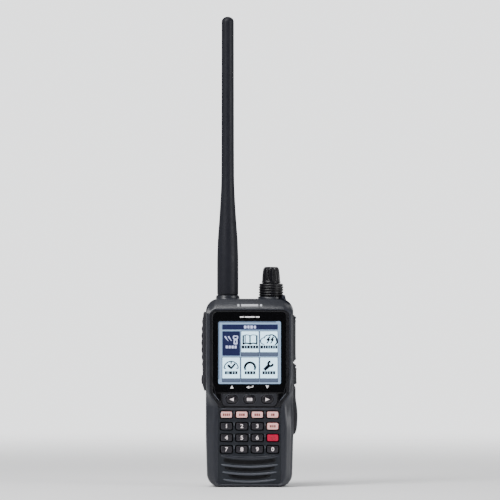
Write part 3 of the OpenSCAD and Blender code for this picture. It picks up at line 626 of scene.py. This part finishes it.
class Ink:
    """Flat marks gathered into one piece. Each is drawn around the point (x, z) of the pen."""

    def __init__(self, level, x=0.0, z=0.0):
        self.near, self.far = level - 0.03, level + 0.02
        self.x, self.z = x, z
        self.parts = []

    def placed(self, points):
        return [(self.x + x, self.z + z) for x, z in points]

    def area(self, outline):
        self.parts.append(prism(self.placed(outline), self.near, self.far))

    def line(self, points, width, closed=False):
        self.parts += stroke(self.placed(points), width, self.near, self.far, closed)

    def taper(self, points, start, end):
        """Line whose width changes from start to end."""
        for i, (a, b) in enumerate(zip(points, points[1:])):
            self.line([a, b], start + (end - start) * (i + 0.5) / (len(points) - 1))

    def words(self, lengths, height, gap=0.32):
        """A row of short blocks in place of lettering."""
        left = -(sum(lengths) + gap * (len(lengths) - 1)) / 2
        for length in lengths:
            self.area(rectangle(left + length / 2, 0, length, height, 0.12, 2))
            left += length + gap

    def piece(self, name, material, slot, body="housing"):
        solid(name, self.parts, material, body)


CELL_PITCH = (13.3, 18.45)
CELL_SIZE = (12.5, 17.3)


def go(place, rise, *pens):
    """Moves pens to a point above the middle of one of the menu's cells."""
    column, row = place
    for pen in pens:
        pen.x = 0.3 + (column - 1) * CELL_PITCH[0]
        pen.z = SCREEN_Z - 2.75 + (0.5 - row) * CELL_PITCH[1] + rise


def screen_art():
    """Menu with a header, six cells, an icon and a row of blocks in each."""
    level = WINDOW_FRONT + 0.2
    tiles, navy, grey = Ink(level), Ink(level - 0.03), Ink(level - 0.03)
    ink, white, holes = Ink(level - 0.06), Ink(level - 0.09), Ink(level - 0.12)
    navy.x = white.x = 0.3
    navy.z = white.z = SCREEN_Z + 18.1
    navy.area(rectangle(0, 0, 39.3, 3.7, 0.3, 3))
    white.words((1.8, 1.5, 1.8, 1.6), 2.0, 0.6)
    edge = SCREEN_HALF - 0.45
    grey.z = SCREEN_Z
    grey.line([(-edge, 3 - edge), (-edge, edge)], 0.55)
    grey.line([(-edge, edge), (edge - 3, edge)], 0.7)
    w, h = CELL_SIZE
    labels = {
        (0, 0): (1.5, 1.5, 1.6, 1.4), (1, 0): (1.9, 1.4, 1.9, 1.7, 1.6, 1.8),
        (2, 0): (1.9, 1.3, 1.5, 1.3, 1.5, 1.3, 1.4), (0, 1): (1.5, 0.8, 2.3, 1.6, 1.6),
        (1, 1): (1.5, 1.8, 1.8, 1.6), (2, 1): (1.6, 1.5, 1.5, 1.7, 1.6),
    }
    for place, lengths in labels.items():
        go(place, 0, tiles, navy, grey)
        go(place, 0.3 * place[1] - 2.5, ink, white)
        if place == (0, 0):
            navy.area(rectangle(0, 0, w, h, 0.4, 3))
            white.words(lengths, 1.9, 0.55)
        else:
            tiles.area(rectangle(0, 0, w, h, 0.5, 3))
            grey.line(rectangle(0, 0, w + 0.2, h + 0.2, 0.5, 3), 0.45, True)
            grey.area(rectangle(0, 1.3 - h / 2, w, 2.6, 0.3, 3))
            ink.words(lengths, 2.2, 0.28)
    handset_icon(white, holes)
    book_icon(ink, grey)
    weather_icon(ink, grey)
    timer_icon(ink, grey)
    gauge_icon(ink)
    wrench_icon(ink)
    for pen, name, material in (
        (tiles, "cells", SCREEN_CELL), (navy, "bars", SCREEN_NAVY), (grey, "shadows", SCREEN_GREY),
        (ink, "icons", SCREEN_INK), (white, "highlights", SCREEN_WHITE),
        (holes, "handset_cutouts", SCREEN_NAVY),
    ):
        pen.piece("screen_" + name, material, "lcd")


def handset_icon(white, holes):
    go((0, 0), 2.5, white, holes)
    white.area(rounded([
        (1.7, -3.2, 0.6), (4.5, -3.2, 0.6), (4.4, 0.6, 0.5), (4.9, 1.0, 0.5),
        (4.9, 3.1, 0.9), (1.2, 3.1, 0.9), (1.2, 1.0, 0.5), (1.8, 0.6, 0.5),
    ], 5))
    holes.area(rectangle(3.05, 1.8, 2.0, 1.3, 0.3, 3))
    holes.area(rectangle(3.1, -1.3, 0.9, 1.9, 0.3, 3))
    for x in (-4.2, -1.8):
        white.taper([(x, 2.4), (x + 0.5, 1.5), (x + 1.2, 0.5), (x + 2.0, -0.6)], 1.25, 0.2)


def book_icon(ink, grey):
    go((1, 0), 2.7, ink, grey)
    half = 4.8
    for side in (-half, half):
        low = arc(side / 2, -6.7, 4.2, 56, 124, 6)
        ink.line(low, 0.95)
        grey.line([(x, z + 5.9) for x, z in low], 0.6)
        ink.line([(side, -3.2), (side, 2.9)], 1.15)
    grey.line([(1.4 - half, -2.4), (1.4 - half, 3.0)], 0.8)
    ink.line([(0, -3.1), (0, 3.0)], 0.95)


def weather_icon(ink, grey):
    go((2, 0), 2.6, ink, grey)
    grey.line(arc(-3.5, -0.9, 2.3, 75, 275, 12), 0.7)
    grey.line(arc(-0.6, 0.4, 2.9, 50, 165, 10), 0.75)
    ink.taper(arc(1.4, -0.6, 4.2, 100, 10, 12), 0.6, 1.3)
    ink.taper(arc(3.6, -1.4, 2.2, 30, -70, 8), 1.2, 0.8)
    for x in (0.0, 2.7):
        ink.taper([(x + 0.6, 2.0), (x - 1.2, -0.2), (x + 0.5, 0.2), (x - 1.4, -2.5)], 1.2, 0.7)


def timer_icon(ink, grey):
    go((0, 1), 0.8, ink, grey)
    ink.line(arc(0, 0, 5.0, 4, 176, 20), 0.75)
    ink.line([(0, 4.7), (0, 3.5)], 0.9)
    for side in (-1, 1):
        grey.line([(side * 5.0, 0.1), (side * 3.8, 0.1)], 0.8)
    ink.taper([(-2.1, 2.2), (-1.0, 1.2), (0.1, 0.2)], 1.9, 1.4)
    ink.taper([(0.1, 0.2), (1.4, 1.7), (2.6, 3.2)], 1.4, 1.3)


def gauge_icon(ink):
    go((1, 1), 1.4, ink)
    ink.line(arc(0, 0, 3.6, 10, 170, 18), 1.6)
    ink.taper(arc(0, 0, 3.6, 8, -24, 5), 1.5, 1.1)
    ink.taper(arc(0, 0, 3.6, 172, 204, 5), 1.5, 1.1)


def wrench_icon(ink):
    go((2, 1), 2.0, ink)
    ink.taper([(-2.9, -1.9), (-1.4, -0.5), (0.2, 1.0)], 2.1, 2.5)
    ink.line(arc(1.2, 2.1, 1.6, 100, 350, 14), 1.5)


def window_marks():
    """Up, return and down marks printed under the screen, and a plain bar over it."""
    marks = Ink(WINDOW_FRONT, 0, 70.8)
    pitch = centre("nav_right").x
    marks.area([(-pitch - 1.2, -1.0), (-pitch + 1.2, -1.0), (-pitch, 1.2)])
    marks.area([(pitch - 1.2, 1.1), (pitch + 1.2, 1.1), (pitch, -1.1)])
    marks.area([(-2.4, -0.1), (-0.3, -1.1), (-0.3, 0.9)])
    marks.line([(-0.5, -0.1), (2.2, -0.1), (2.4, 1.0)], 0.5)
    marks.x, marks.z = 0.1, SCREEN_Z + 25.2
    marks.words((2.6, 7.0, 2.6), 0.9, 0.8)
    marks.piece("window_marks", PRINT_WHITE, "trim")


# ---- Keys ----

def cap(outline, front, back, rim, crown):
    """Key cap: outline(inset) gives its shape, the front edge is rounded and the top crowned."""
    levels = [(back, 0)]
    for a in (pi / 10 * k for k in range(6)):
        levels.append((front + crown + rim * (1 - sin(a)), rim * (1 - cos(a))))
    for share in (0.3, 0.6, 0.9):
        levels.append((front + crown * (1 - share) ** 2, rim + share * 1.6))
    return loft([[(x, y, z) for x, z in outline(inset)] for y, inset in levels])


def button(name, front, size, rim, crown, steps, material):
    """Moulded cap in place of a key. size is its width, height and corner radius."""
    w, h, r = size

    def outline(inset):
        return around(name, w - 2 * inset, h - 2 * inset, r - inset, steps)

    skin = [cap(outline, front, FRONT + 3.2, rim, crown)]
    solid(name + "_button", skin, material, name + "_cap", 60, name)


def nav_keys():
    for name in NAV_KEYS:
        button(name, NAV_FRONT + 0.03, (8.1, 5.5, 2.7), 0.7, 0.22, 10, NAV_KEY)
        middle = centre(name)
        mark = Ink(NAV_FRONT + 0.04, middle.x, middle.z)
        if name == "nav_enter":
            mark.words((1.2, 0.5, 1.3), 2.0)
        else:
            side = -1 if name == "nav_left" else 1
            mark.area([(side * 1.6, 0), (side * -1.3, -1.25), (side * -1.3, 1.25)])
        mark.piece(name + "_mark", PRINT_PINK, "nav_key", name + "_cap")


def nav_panel():
    """Plate round the navigation keys, with a soft rim at each hole."""
    holes = [around(name, 9.1, 6.5, 3.2, 10) for name in NAV_KEYS]
    plate(
        "nav_plate", nav_outline(0), holes, FRONT + 0.08, box("nav_panel")[1].y, 0.3,
        NAV_TRIM, node="nav_panel",
    )
    rims = []
    for name in NAV_KEYS:
        rings = []
        for a in turns(10):
            grow = 0.28 * cos(a)
            y = FRONT + 0.02 - 0.24 * sin(a)
            shape = around(name, 9.5 + 2 * grow, 6.9 + 2 * grow, 3.4 + grow, 10)
            rings.append([(x, y, z) for x, z in shape])
        rims.append(loft(rings, cyclic=True))
    solid("nav_rims", rims, NAV_TRIM, angle=70)


def digit(key):
    """The digit printed on a key, which is the last sign of the key's name."""
    middle = centre(key)
    curve = bpy.data.curves.new(key + "_digit", "FONT")
    curve.body = key[-1]
    curve.size = 3.9
    curve.extrude = 0.03
    curve.offset = 0.0455
    curve.align_x, curve.align_y = "CENTER", "CENTER"
    mesh = curve_mesh(curve)
    for vertex in mesh.vertices:
        a, b, c = vertex.co
        vertex.co = (middle.x + a * 1.12, KEY_FRONT + 0.01 - c, middle.z + b)
    finish_mesh(key + "_digit", mesh, PRINT_PINK, key + "_cap")


def keypad():
    legends = {
        "soft_key_1": (1.1, 1.0, 1.1, 1.0), "soft_key_2": (1.2, 1.0, 1.2),
        "soft_key_3": (1.1, 1.2, 1.1), "soft_key_4": (0.7, 1.5), "key_mode": (1.3, 1.0, 1.2),
    }
    for name in KEYS:
        height = 4.2 if name.startswith("soft") else 4.6
        material, slot = DARK_KEY, "dark_key"
        if name in legends:
            material, slot = PALE_KEY, "pale_key"
        elif name == "key_red":
            material, slot = RED_KEY, "red_key"
        button(name, KEY_FRONT, (7.8, height, 0.9), 0.4, 0.12, 6, material)
        if slot == "dark_key":
            digit(name)
            continue
        middle = centre(name)
        mark = Ink(KEY_FRONT + 0.01, middle.x, middle.z)
        if name in legends:
            mark.words(legends[name], 1.7)
        else:
            mark.line(arc(0, 0, 1.0, 120, 420, 14), 0.3)
            mark.line([(0, 0.3), (0, 1.4)], 0.3)
        mark.piece(name + "_legend", PRINT_DARK, slot, name + "_cap")


# The speaker grille's slots, the wells around them and the ridges between: height, half width
# and, of the last two, thickness.
SLOTS = [(17.5, 16.1), (12.3, 14.5), (6.8, 11.9)]
SLOT_WELLS = [(17.5, 17.4, 2.9), (12.2, 16.8, 2.6), (6.75, 14.0, 2.5)]
RIDGES = [(14.4, 20.1, 1.6), (9.2, 19.4, 1.6), (3.9, 18.6, 1.6)]


def curved_band(z, half, height, lift, steps=14):
    """Outline of a band that is low in the middle, with round ends."""
    across = [half * (2 * k / steps - 1) for k in range(steps + 1)]
    low = [(x, z - height / 2 + lift * (x / half) ** 2) for x in across]
    high = [(x, z + height / 2 + lift * (x / half) ** 2) for x in across]
    return low + [(half + height * 0.4, z + lift)] + high[::-1] + [(-half - height * 0.4, z + lift)]


def ridge(z, half, height, lift, rise, steps=40):
    """Half-round lip along a curve that is low in the middle."""
    rings = []
    for k in range(steps + 1):
        t = 2 * k / steps - 1
        size = sqrt(max(0.02, 1 - abs(t) ** 8))
        x, middle = half * t, z + lift * t * t
        rings.append([
            (x, FRONT + 0.55 - rise * size * sin(a), middle + height / 2 * size * cos(a))
            for a in turns(12)
        ])
    return loft(rings)


def field():
    """Keypad field with its wells, the speaker slots and the lips around them."""
    wells = [around(name, 9.3, 5.9 if name.startswith("key") else 5.6, 1.2) for name in KEYS]
    basins = [curved_band(z, half, height, 1.5) for z, half, height in SLOT_WELLS]
    edge = FIELD_SIDE - 0.06
    outline = mirrored([(edge, FIELD_LOW + 0.06, 2.3), (edge, BEZEL_LOW - 1.1, 0.6)])
    plate("keypad_field", outline, wells + basins, FRONT + 0.5, FRONT + 2.9, 0.28, FIELD)
    slots = [curved_band(z, half, 1.9, 1.4) for z, half in SLOTS]
    # The basin floor between the lips is near-black seal rubber, darker than the case plastic:
    # painted shade in the recessed wells.
    floor = mirrored([(20.6, 3.6, 2), (20.6, 22.6, 2)])
    plate("grille_floor_painted_shade", floor, slots, FRONT + 1.3, FRONT + 2.5, 0.2, SEAL)
    # The lips are in the lighter plastic: painted highlight along the ridges of the grille.
    lips = [ridge(z, half, width, 1.6, 0.75) for z, half, width in RIDGES]
    solid("grille_lips", lips, PAINTED_HIGHLIGHT_PLASTIC, angle=60)
    broad = [ridge(LIP_Z, 20.6, 1.5, 0.0, 0.6), ridge(20.6, 20.2, 2.2, 1.6, 0.55)]
    solid("keypad_lips", broad, CASE, angle=60)
    cloth = [
        prism(curved_band(z, half + 0.6, 2.6, 1.4), FRONT + 2.6, FRONT + 2.95) for z, half in SLOTS
    ]
    solid("speaker_cloth", cloth, SEAL)


def pips():
    """Small raised ovals between the columns of keys."""
    pitch = centre("key_2").x - centre("key_1").x
    parts = []
    for column in (-1, 0, 1):
        for row in KEYS[::4]:
            x, z = column * pitch, centre(row).z + 1.4
            parts.append(loft([
                [
                    (x + 0.45 * size * cos(a), FRONT + depth, z + 1.15 * size * sin(a))
                    for a in turns(20)
                ]
                for depth, size in ((0.9, 1.0), (0.5, 1.0), (0.3, 0.9), (0.18, 0.6), (0.15, 0.2))
            ]))
    # The ovals are in the lighter plastic: painted highlight on the dividers between the keys.
    solid("keypad_pips", parts, PAINTED_HIGHLIGHT_PLASTIC, angle=70)


# ---- Antenna and knobs ----

def antenna():
    low, high = box("antenna_whip")
    shape = [
        (low.z, 7.55), (161, 7.5), (168, 7.32), (175, 7.05), (188, 6.1), (201.5, 5.25),
        (215, 4.65), (232, 4.5), (249, 4.45), (329.7, 4.35),
    ]
    tip = 3.6
    profile = [(6.55, low.z), (7.2, low.z), (7.5, low.z + 0.35)]
    z = low.z + 1.0
    while z < high.z - tip:
        profile.append((interpolate(shape, z), z))
        z += 2.2
    for k in range(13):
        a = pi / 2 * k / 12
        profile.append((max(0.01, 4.35 * cos(a)), high.z - tip + tip * sin(a)))
    profile += [(0.01, TOP + 16), (6.55, TOP + 16)]
    skin = [lathe(profile, ANTENNA, 96)]
    solid("antenna_boot", skin, WHIP, "antenna", 45, "antenna_whip")


def washer(name, at, inside, outside, low, high, body="housing"):
    """Thin seal that closes the gap under a turning piece."""
    rim = (high - low) / 3
    profile = [
        (inside, low), (outside - rim, low), (outside, low + rim), (outside, high - rim),
        (outside - rim, high), (inside, high),
    ]
    solid(name, [lathe(profile, at, 64)], SEAL, body)


def collar():
    low, high = box("antenna_collar")
    wide = (high.x - low.x) / 2
    insets = [
        (0, low.z), (0.12, low.z + 0.25), (0.3, low.z + 0.7), (0.42, low.z + 1.4),
        (0.5, high.z - 0.45), (0.62, high.z - 0.12), (0.85, high.z),
    ]
    profile = [(4.7, low.z), *((wide - inset, z) for inset, z in insets), (4.7, high.z)]
    skin = [lathe(profile, ANTENNA, 96)]
    solid("antenna_base_ring", skin, CASE, angle=40, node="antenna_collar")
    washer("antenna_seal", ANTENNA, 4.75, 7.35, high.z, box("antenna_whip")[0].z - 0.05)


def outer_ring():
    """Volume ring with five round ridges."""
    low, high = box("volume_ring")
    ring_r = (high.x - low.x) / 2
    pitch = (high.z - low.z) / 5
    profile = [(7.0, low.z), (ring_r - 0.9, low.z)]
    for i in range(5):
        for k in range(7):
            t = k / 6
            top = 0.5 * t if i == 4 else 0
            r = ring_r - 0.6 * (1 - sin(pi * t) ** 0.7) - top
            profile.append((r, low.z + pitch * (i + 0.06 + 0.88 * t)))
    profile += [
        (ring_r - 1.7, high.z), (4.6, high.z), (4.5, high.z - 0.15), (4.5, high.z - 2.2),
        (7.0, high.z - 2.2),
    ]
    skin = [lathe(profile, KNOB, 96)]
    solid("volume_grip", skin, KNOB_RUBBER, "ring", 45, "volume_ring")
    washer("ring_washer", KNOB, 7.65, 8.5, TOP + 1.3, low.z - 0.05)


def dial():
    """Dial knob with eight flutes. A level is its height, its inset and the flutes' depth."""
    low, high = box("dial_knob")
    base_r = (high.x - low.x) / 2
    levels = [
        (low.z, 0.25, 0), (low.z + 0.25, 0, 0), (low.z + 0.9, 0, 0), (low.z + 1.3, 0.3, 0.05),
        (low.z + 1.6, 0.38, 0.4), (low.z + 2.1, 0.40, 0.85), (low.z + 4, 0.46, 1.0),
        (low.z + 6, 0.66, 1.1), (low.z + 8.3, 0.95, 1.1), (high.z - 1.9, 1.15, 1.1),
        (high.z - 1.2, 1.4, 1.0), (high.z - 0.6, 1.8, 0.85), (high.z - 0.2, 2.3, 0.6),
        (high.z, 2.9, 0.3), (high.z, 3.6, 0), (high.z - 0.35, 4.0, 0),
        (high.z - 0.4, base_r - 0.4, 0),
    ]
    rings = []
    for z, inset, depth in levels:
        ring = []
        for a in turns(192):
            r = base_r - inset - depth * max(0.0, cos(8 * (a + pi / 8))) ** 1.4
            ring.append((KNOB.x + r * cos(a), KNOB.y + r * sin(a), z))
        rings.append(ring)
    solid("dial_grip", [loft(rings)], KNOB_RUBBER, "dial", 50, "dial_knob")
    ring_top = box("volume_ring")[1].z
    washer("dial_washer", KNOB, 4.0, base_r - 0.5, ring_top, low.z - 0.04, "ring")


# ---- Sides ----

def side_bar(side, z0, z1, root, height, half_y, edge, steps):
    """Rounded bar on a side wall: height(z) is how far it stands out from root."""
    rings = []
    for k in range(steps + 1):
        z = z0 + (z1 - z0) * (k / steps)
        tuck = max(0, 1 - min(z - z0, z1 - z) / edge)
        end = sqrt(max(0, 1 - tuck ** 2))
        rise = max(0.12, height(z) * (0.35 + 0.65 * end))
        half = half_y - 0.9 * edge * (1 - end)
        ring = []
        for a in (pi * s / 19 for s in range(20)):
            across = copysign(abs(cos(a)) ** 0.35, cos(a))
            ring.append((side * (root + rise * sin(a) ** 0.42), MID_Y + half * across, z))
        rings.append(ring)
    return loft(rings)


def ptt_frame():
    """Rubber surround of the two side buttons, thinner towards its ends."""
    low, high = box("ptt_surround")
    outline = rectangle(MID_Y, (low.z + high.z) / 2, 9.6, high.z - low.z, 3.0)
    holes = []
    for name in ("ptt_button", "monitor_key"):
        a, b = box(name)
        holes.append(rectangle(MID_Y, (a.z + b.z) / 2, 8.2, b.z - a.z + 0.6, 1.8))

    def taper(p):
        if p.x < -SIDE - 0.9:
            ends = min(1.0, (min(p.z - low.z, high.z - p.z) + 0.6) / 5.0)
            wave = 0.16 * sin((p.z - low.z) * 1.35)
            p.x += (1 - ends) * 1.1 + 0.2 + wave
        return p

    plate(
        "ptt_frame", outline, holes, -SIDE + 0.1, -SIDE - 2.5, 0.45, RUBBER,
        axis="x", shape=taper, node="ptt_surround",
    )


def side_button(node, body, ribs, posts, steps):
    """Ribbed bar with the posts that it presses the switch with."""
    low, high = box(node)
    full = -low.x - SIDE - 0.6

    def height(z):
        t = (z - low.z) / (high.z - low.z)
        if ribs == 1:
            return full - 0.25 * abs(cos(pi * t))
        wave = sin(pi * ribs * t) ** 2
        return full * (0.75 + 0.25 * sin(pi * t)) - 0.45 * (1 - wave)

    parts = [side_bar(-1, low.z, high.z, SIDE + 0.6, height, 3.8, 1.4, steps)]
    for post in posts:
        z = (low.z + high.z) / 2 + post
        parts.append(rod((-SIDE - 0.7, MID_Y, z), (-SIDE + 3.4, MID_Y, z), 1.3))
    solid(node + "_rubber", parts, RUBBER, body, 50, node)


def jack_cover(node, body, stubs):
    """Moulded flap with finger ribs, plugs behind it and a knuckle at the top, in a raised rim."""
    low, high = box(node)
    root = SIDE + 0.3
    hinge_z = high.z - 0.85
    y = MID_Y

    def height(z):
        from_top = smooth_step(hinge_z - 2.4, hinge_z - 3.2, z)
        return high.x - root - 0.22 * smooth_step(low.z + 1.6, low.z + 2.4, z) * from_top

    parts = [side_bar(1, low.z, hinge_z - 1.3, root, height, 4.6, 1.0, 90)]
    x = high.x - 0.28
    for k in range(3):
        z = low.z + 2.1 + k * 0.95
        parts.append(rod((x, y - 2.4, z), (x, y + 2.4, z), 0.26, 14))
    x = root + 0.85
    parts.append(rod((x, y - 3.6, hinge_z), (x, y + 3.6, hinge_z), 0.84))
    neck = [
        (root, hinge_z - 1.7), (root + 1.35, hinge_z - 1.7), (root + 1.25, hinge_z), (root, hinge_z)
    ]
    parts.append(loft([[(x, y + side, z) for x, z in neck] for side in (-3.5, 3.5)]))
    for z in stubs:
        parts.append(rod((SIDE - 1, y, z), (root + 0.5, y, z), 2.3, 36, 0.3))
    solid(node + "_flap", parts, RUBBER, body, 50, node)
    z, span = (low.z + high.z) / 2, high.z - low.z
    plate(
        node + "_frame", rectangle(MID_Y, z, 11.4, span + 2.0, 1.8),
        [rectangle(MID_Y, z, 10.0, span + 0.8, 1.2)],
        SIDE - 0.4, SIDE + 0.95, 0.25, CASE, axis="x",
    )


def side_pad():
    low, high = box("side_pad")
    shape = [
        (low.z, 0.5), (low.z + 1.4, 1.6), (low.z + 4, 2.45), (low.z + 9, 2.95), (low.z + 14, 3.1),
        (low.z + 19, 2.8), (low.z + 24, 2.1), (low.z + 27, 1.8), (high.z - 2, 1.75), (high.z, 1.2),
    ]
    bar = side_bar(1, low.z, high.z, SIDE - 0.05, lambda z: interpolate(shape, z), 4.8, 1.2, 90)
    solid("side_grip", [bar], RUBBER, angle=50, node="side_pad")


# ---- Rear ----

def battery_seal():
    """Dark sheet that closes the joint between the case and the battery pack."""
    low, high = box("battery_pack")
    sheet = mirrored([
        (SIDE - 5.2, low.z + 1.4, 8), (SIDE - 1.8, 24, 20), (SIDE - 1.4, high.z - 1, 2)
    ])
    plate("battery_seal", sheet, [], low.y - 0.28, low.y - 0.02, 0.05, SEAL)


def battery_details():
    """Grip bars, charging contacts and a plain raised panel on the pack."""
    bars = []
    for z in (8 + 2.4 * k for k in range(6)):
        for x in (-25, 12):
            bars.append(rod((x, BACK - 0.05, z), (x + 13, BACK - 0.05, z), 0.5, 14, 0.3))
    solid("pack_grips", bars, CASE, angle=50)
    contacts = [rod((x, BACK - 0.4, 11), (x, BACK + 0.12, 11), 2.0, 32, 0.2) for x in (-6, 0, 6)]
    solid("charge_contacts", contacts, GOLD, angle=50)
    panel = rectangle(0, 40, 44, 30, 2.5)
    plate("pack_panel", panel, [], BACK - 0.2, BACK + 0.35, 0.18, FIELD)


def screw_seats():
    """Soft rims round the heads of the case screws."""
    low, high = box("case_screws")
    rim = [(2.2 + 0.3 * cos(a), 0.2 * sin(a)) for a in turns(12)]
    verts, faces = lathe(rim, Vector((0, 0)), 40)
    seats = []
    for x in (low.x + 2.1, high.x - 2.1):
        for z in (low.z + 2.1, high.z - 2.1):
            seats.append(([(x + vx, BACK - 0.05 + vz, z + vy) for vx, vy, vz in verts], faces))
    solid("screw_seats", seats, CASE, angle=60)


def spring():
    """Real coils of the clip's torsion spring around its pin."""
    low, high = box("clip_spring")
    middle = (low + high) / 2
    wire, steps = 0.38, 5 * 24
    radius = (high.y - low.y) / 2 - wire
    rings = []
    for k in range(steps + 1):
        a = 2 * pi * k / 24
        x = low.x + wire + (high.x - low.x - 2 * wire) * k / steps
        ring = []
        for b in turns(8):
            r = radius + wire * cos(b)
            y, z = middle.y + r * cos(a), middle.z + r * sin(a)
            ring.append((x + wire * sin(b), y, z))
        rings.append(ring)
    solid("clip_coil", [loft(rings)], STEEL, angle=60, node="clip_spring")


def moulded_nodes():
    """CAD nodes whose shape is right: rounded edges and their own finish."""
    refine("rear_case", CASE, 0.3)
    refine("battery_pack", CASE, 0.35)
    refine("clip_bracket", DARK, 0.25)
    refine("belt_clip", DARK, 0.3, "clip")
    refine("battery_latch", DARK, 0.15, "latch")
    refine("encoder_nut", BLACK_STEEL, 0.1)
    refine("antenna_jack", NICKEL, 0.12)
    refine("antenna_sleeve", NICKEL, 0.12, "antenna")


def cad_finishes():
    """Finish of the CAD nodes that stay as they are, most of them inside the case."""
    for material, nodes in (
        (SEAL, ("case_gasket", "key_mat")), (LIGHT_METAL, ("lcd_frame",)),
        (DARK, ("speaker", "side_switches", "audio_jacks", "power_jack", "battery_cover")),
        (STEEL, ("shield_can", "microphone", "case_screws", "clip_pin")),
        (BLACK_STEEL, ("encoder_body", "dial_shaft", "volume_shaft")),
        (BOARD, ("main_board",)), (CELL, ("battery_cells",)), (GOLD, ("antenna_pin",)),
    ):
        for node in nodes:
            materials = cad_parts[node].data.materials
            materials.clear()
            materials.append(material)


# ---- Stage ----

BACKDROP = 2.2              # brightness of the pale backdrop
FLOOR_FADE = (0.30, 1.30)   # metres from the object over which the floor fades out


def stage():
    """Pale floor that fades out into the backdrop away from the object."""
    mesh = bpy.data.meshes.new("floor")
    r = FLOOR_FADE[1] + 0.1
    mesh.from_pydata([(-r, -r, 0), (r, -r, 0), (r, r, 0), (-r, r, 0)], [], [(0, 1, 2, 3)])
    pale = surface("pale_floor", (0.90, 0.90, 0.91), 0.8, tint=0.01, blotch=400)
    nt = pale.node_tree
    where = add(nt, "TexCoord", {})["Object"]
    away = add(nt, "VectorMath", {0: where}, operation="LENGTH")["Value"]
    alpha = remap(nt, away, *FLOOR_FADE, 1.0, 0.0)
    feed(nt, nt.nodes["Principled BSDF"], {"Alpha": alpha})
    mesh.materials.append(pale)
    new_object("floor", mesh)


def lights():
    """Rectangular soft lights that point at the middle of the object."""
    for name, place, size, power in (
        ("key", (-0.75, -0.75, 0.9), (0.5, 0.8), 16), ("fill", (1, -0.62, 0.3), (0.5, 0.8), 7.5),
        ("top", (-0.2, -0.32, 1.1), (0.35, 0.4), 6), ("back", (0.3, 1.1, 0.8), (0.9, 0.7), 5),
    ):
        data = bpy.data.lights.new(name, "AREA")
        data.shape = "RECTANGLE"
        data.size, data.size_y = size
        data.energy = power
        new_object(name, data, place, Vector((0, 0, 0.12)) - Vector(place))


def studio():
    """Soft light from all around, weaker from the front, and a plain pale backdrop."""
    world = bpy.data.worlds.new("studio")
    world.use_nodes = True
    nt = world.node_tree
    where = add(nt, "TexCoord", {})["Generated"]
    unit = add(nt, "VectorMath", {0: where}, operation="NORMALIZE")["Vector"]
    depth = add(nt, "SeparateXYZ", {"Vector": unit})["Y"]
    walls = remap(nt, depth, -0.96, -0.4, 0.08, 0.42)
    seen = add(nt, "LightPath", {})["Is Camera Ray"]
    backdrop = remap(nt, seen, 0.0, 1.0, 0.0, BACKDROP)
    strength = add(nt, "Math", {0: walls, 1: backdrop}, operation="MAXIMUM")["Value"]
    feed(nt, nt.nodes["Background"], {"Strength": strength, "Color": (0.98, 0.99, 1.0, 1)})
    bpy.context.scene.world = world


def camera():
    """Straight front view: the frame spans 353 mm at the object."""
    data = bpy.data.cameras.new("camera")
    data.sensor_width = 36
    distance, width = 4.0, 0.3531
    data.lens = data.sensor_width * distance / width
    place = (0.0003, FRONT * MM - distance, 0.1676)
    bpy.context.scene.camera = new_object("camera", data, place, (0, 1, 0))


camera()
stage()
lights()
studio()
front_shell()
bezel()
display()
screen_art()
window_marks()
nav_panel()
nav_keys()
field()
pips()
keypad()
antenna()
collar()
outer_ring()
dial()
ptt_frame()
side_button("ptt_button", "ptt", 7, (-4, 4), 160)
side_button("monitor_key", "monitor", 1, (0,), 40)
jack_cover("audio_cover", "audio_flap", (112, 98))
jack_cover("power_cover", "power_flap", (79,))
side_pad()
battery_seal()
battery_details()
screw_seats()
spring()
moulded_nodes()
cad_finishes()


bpy.context.view_layer.update()
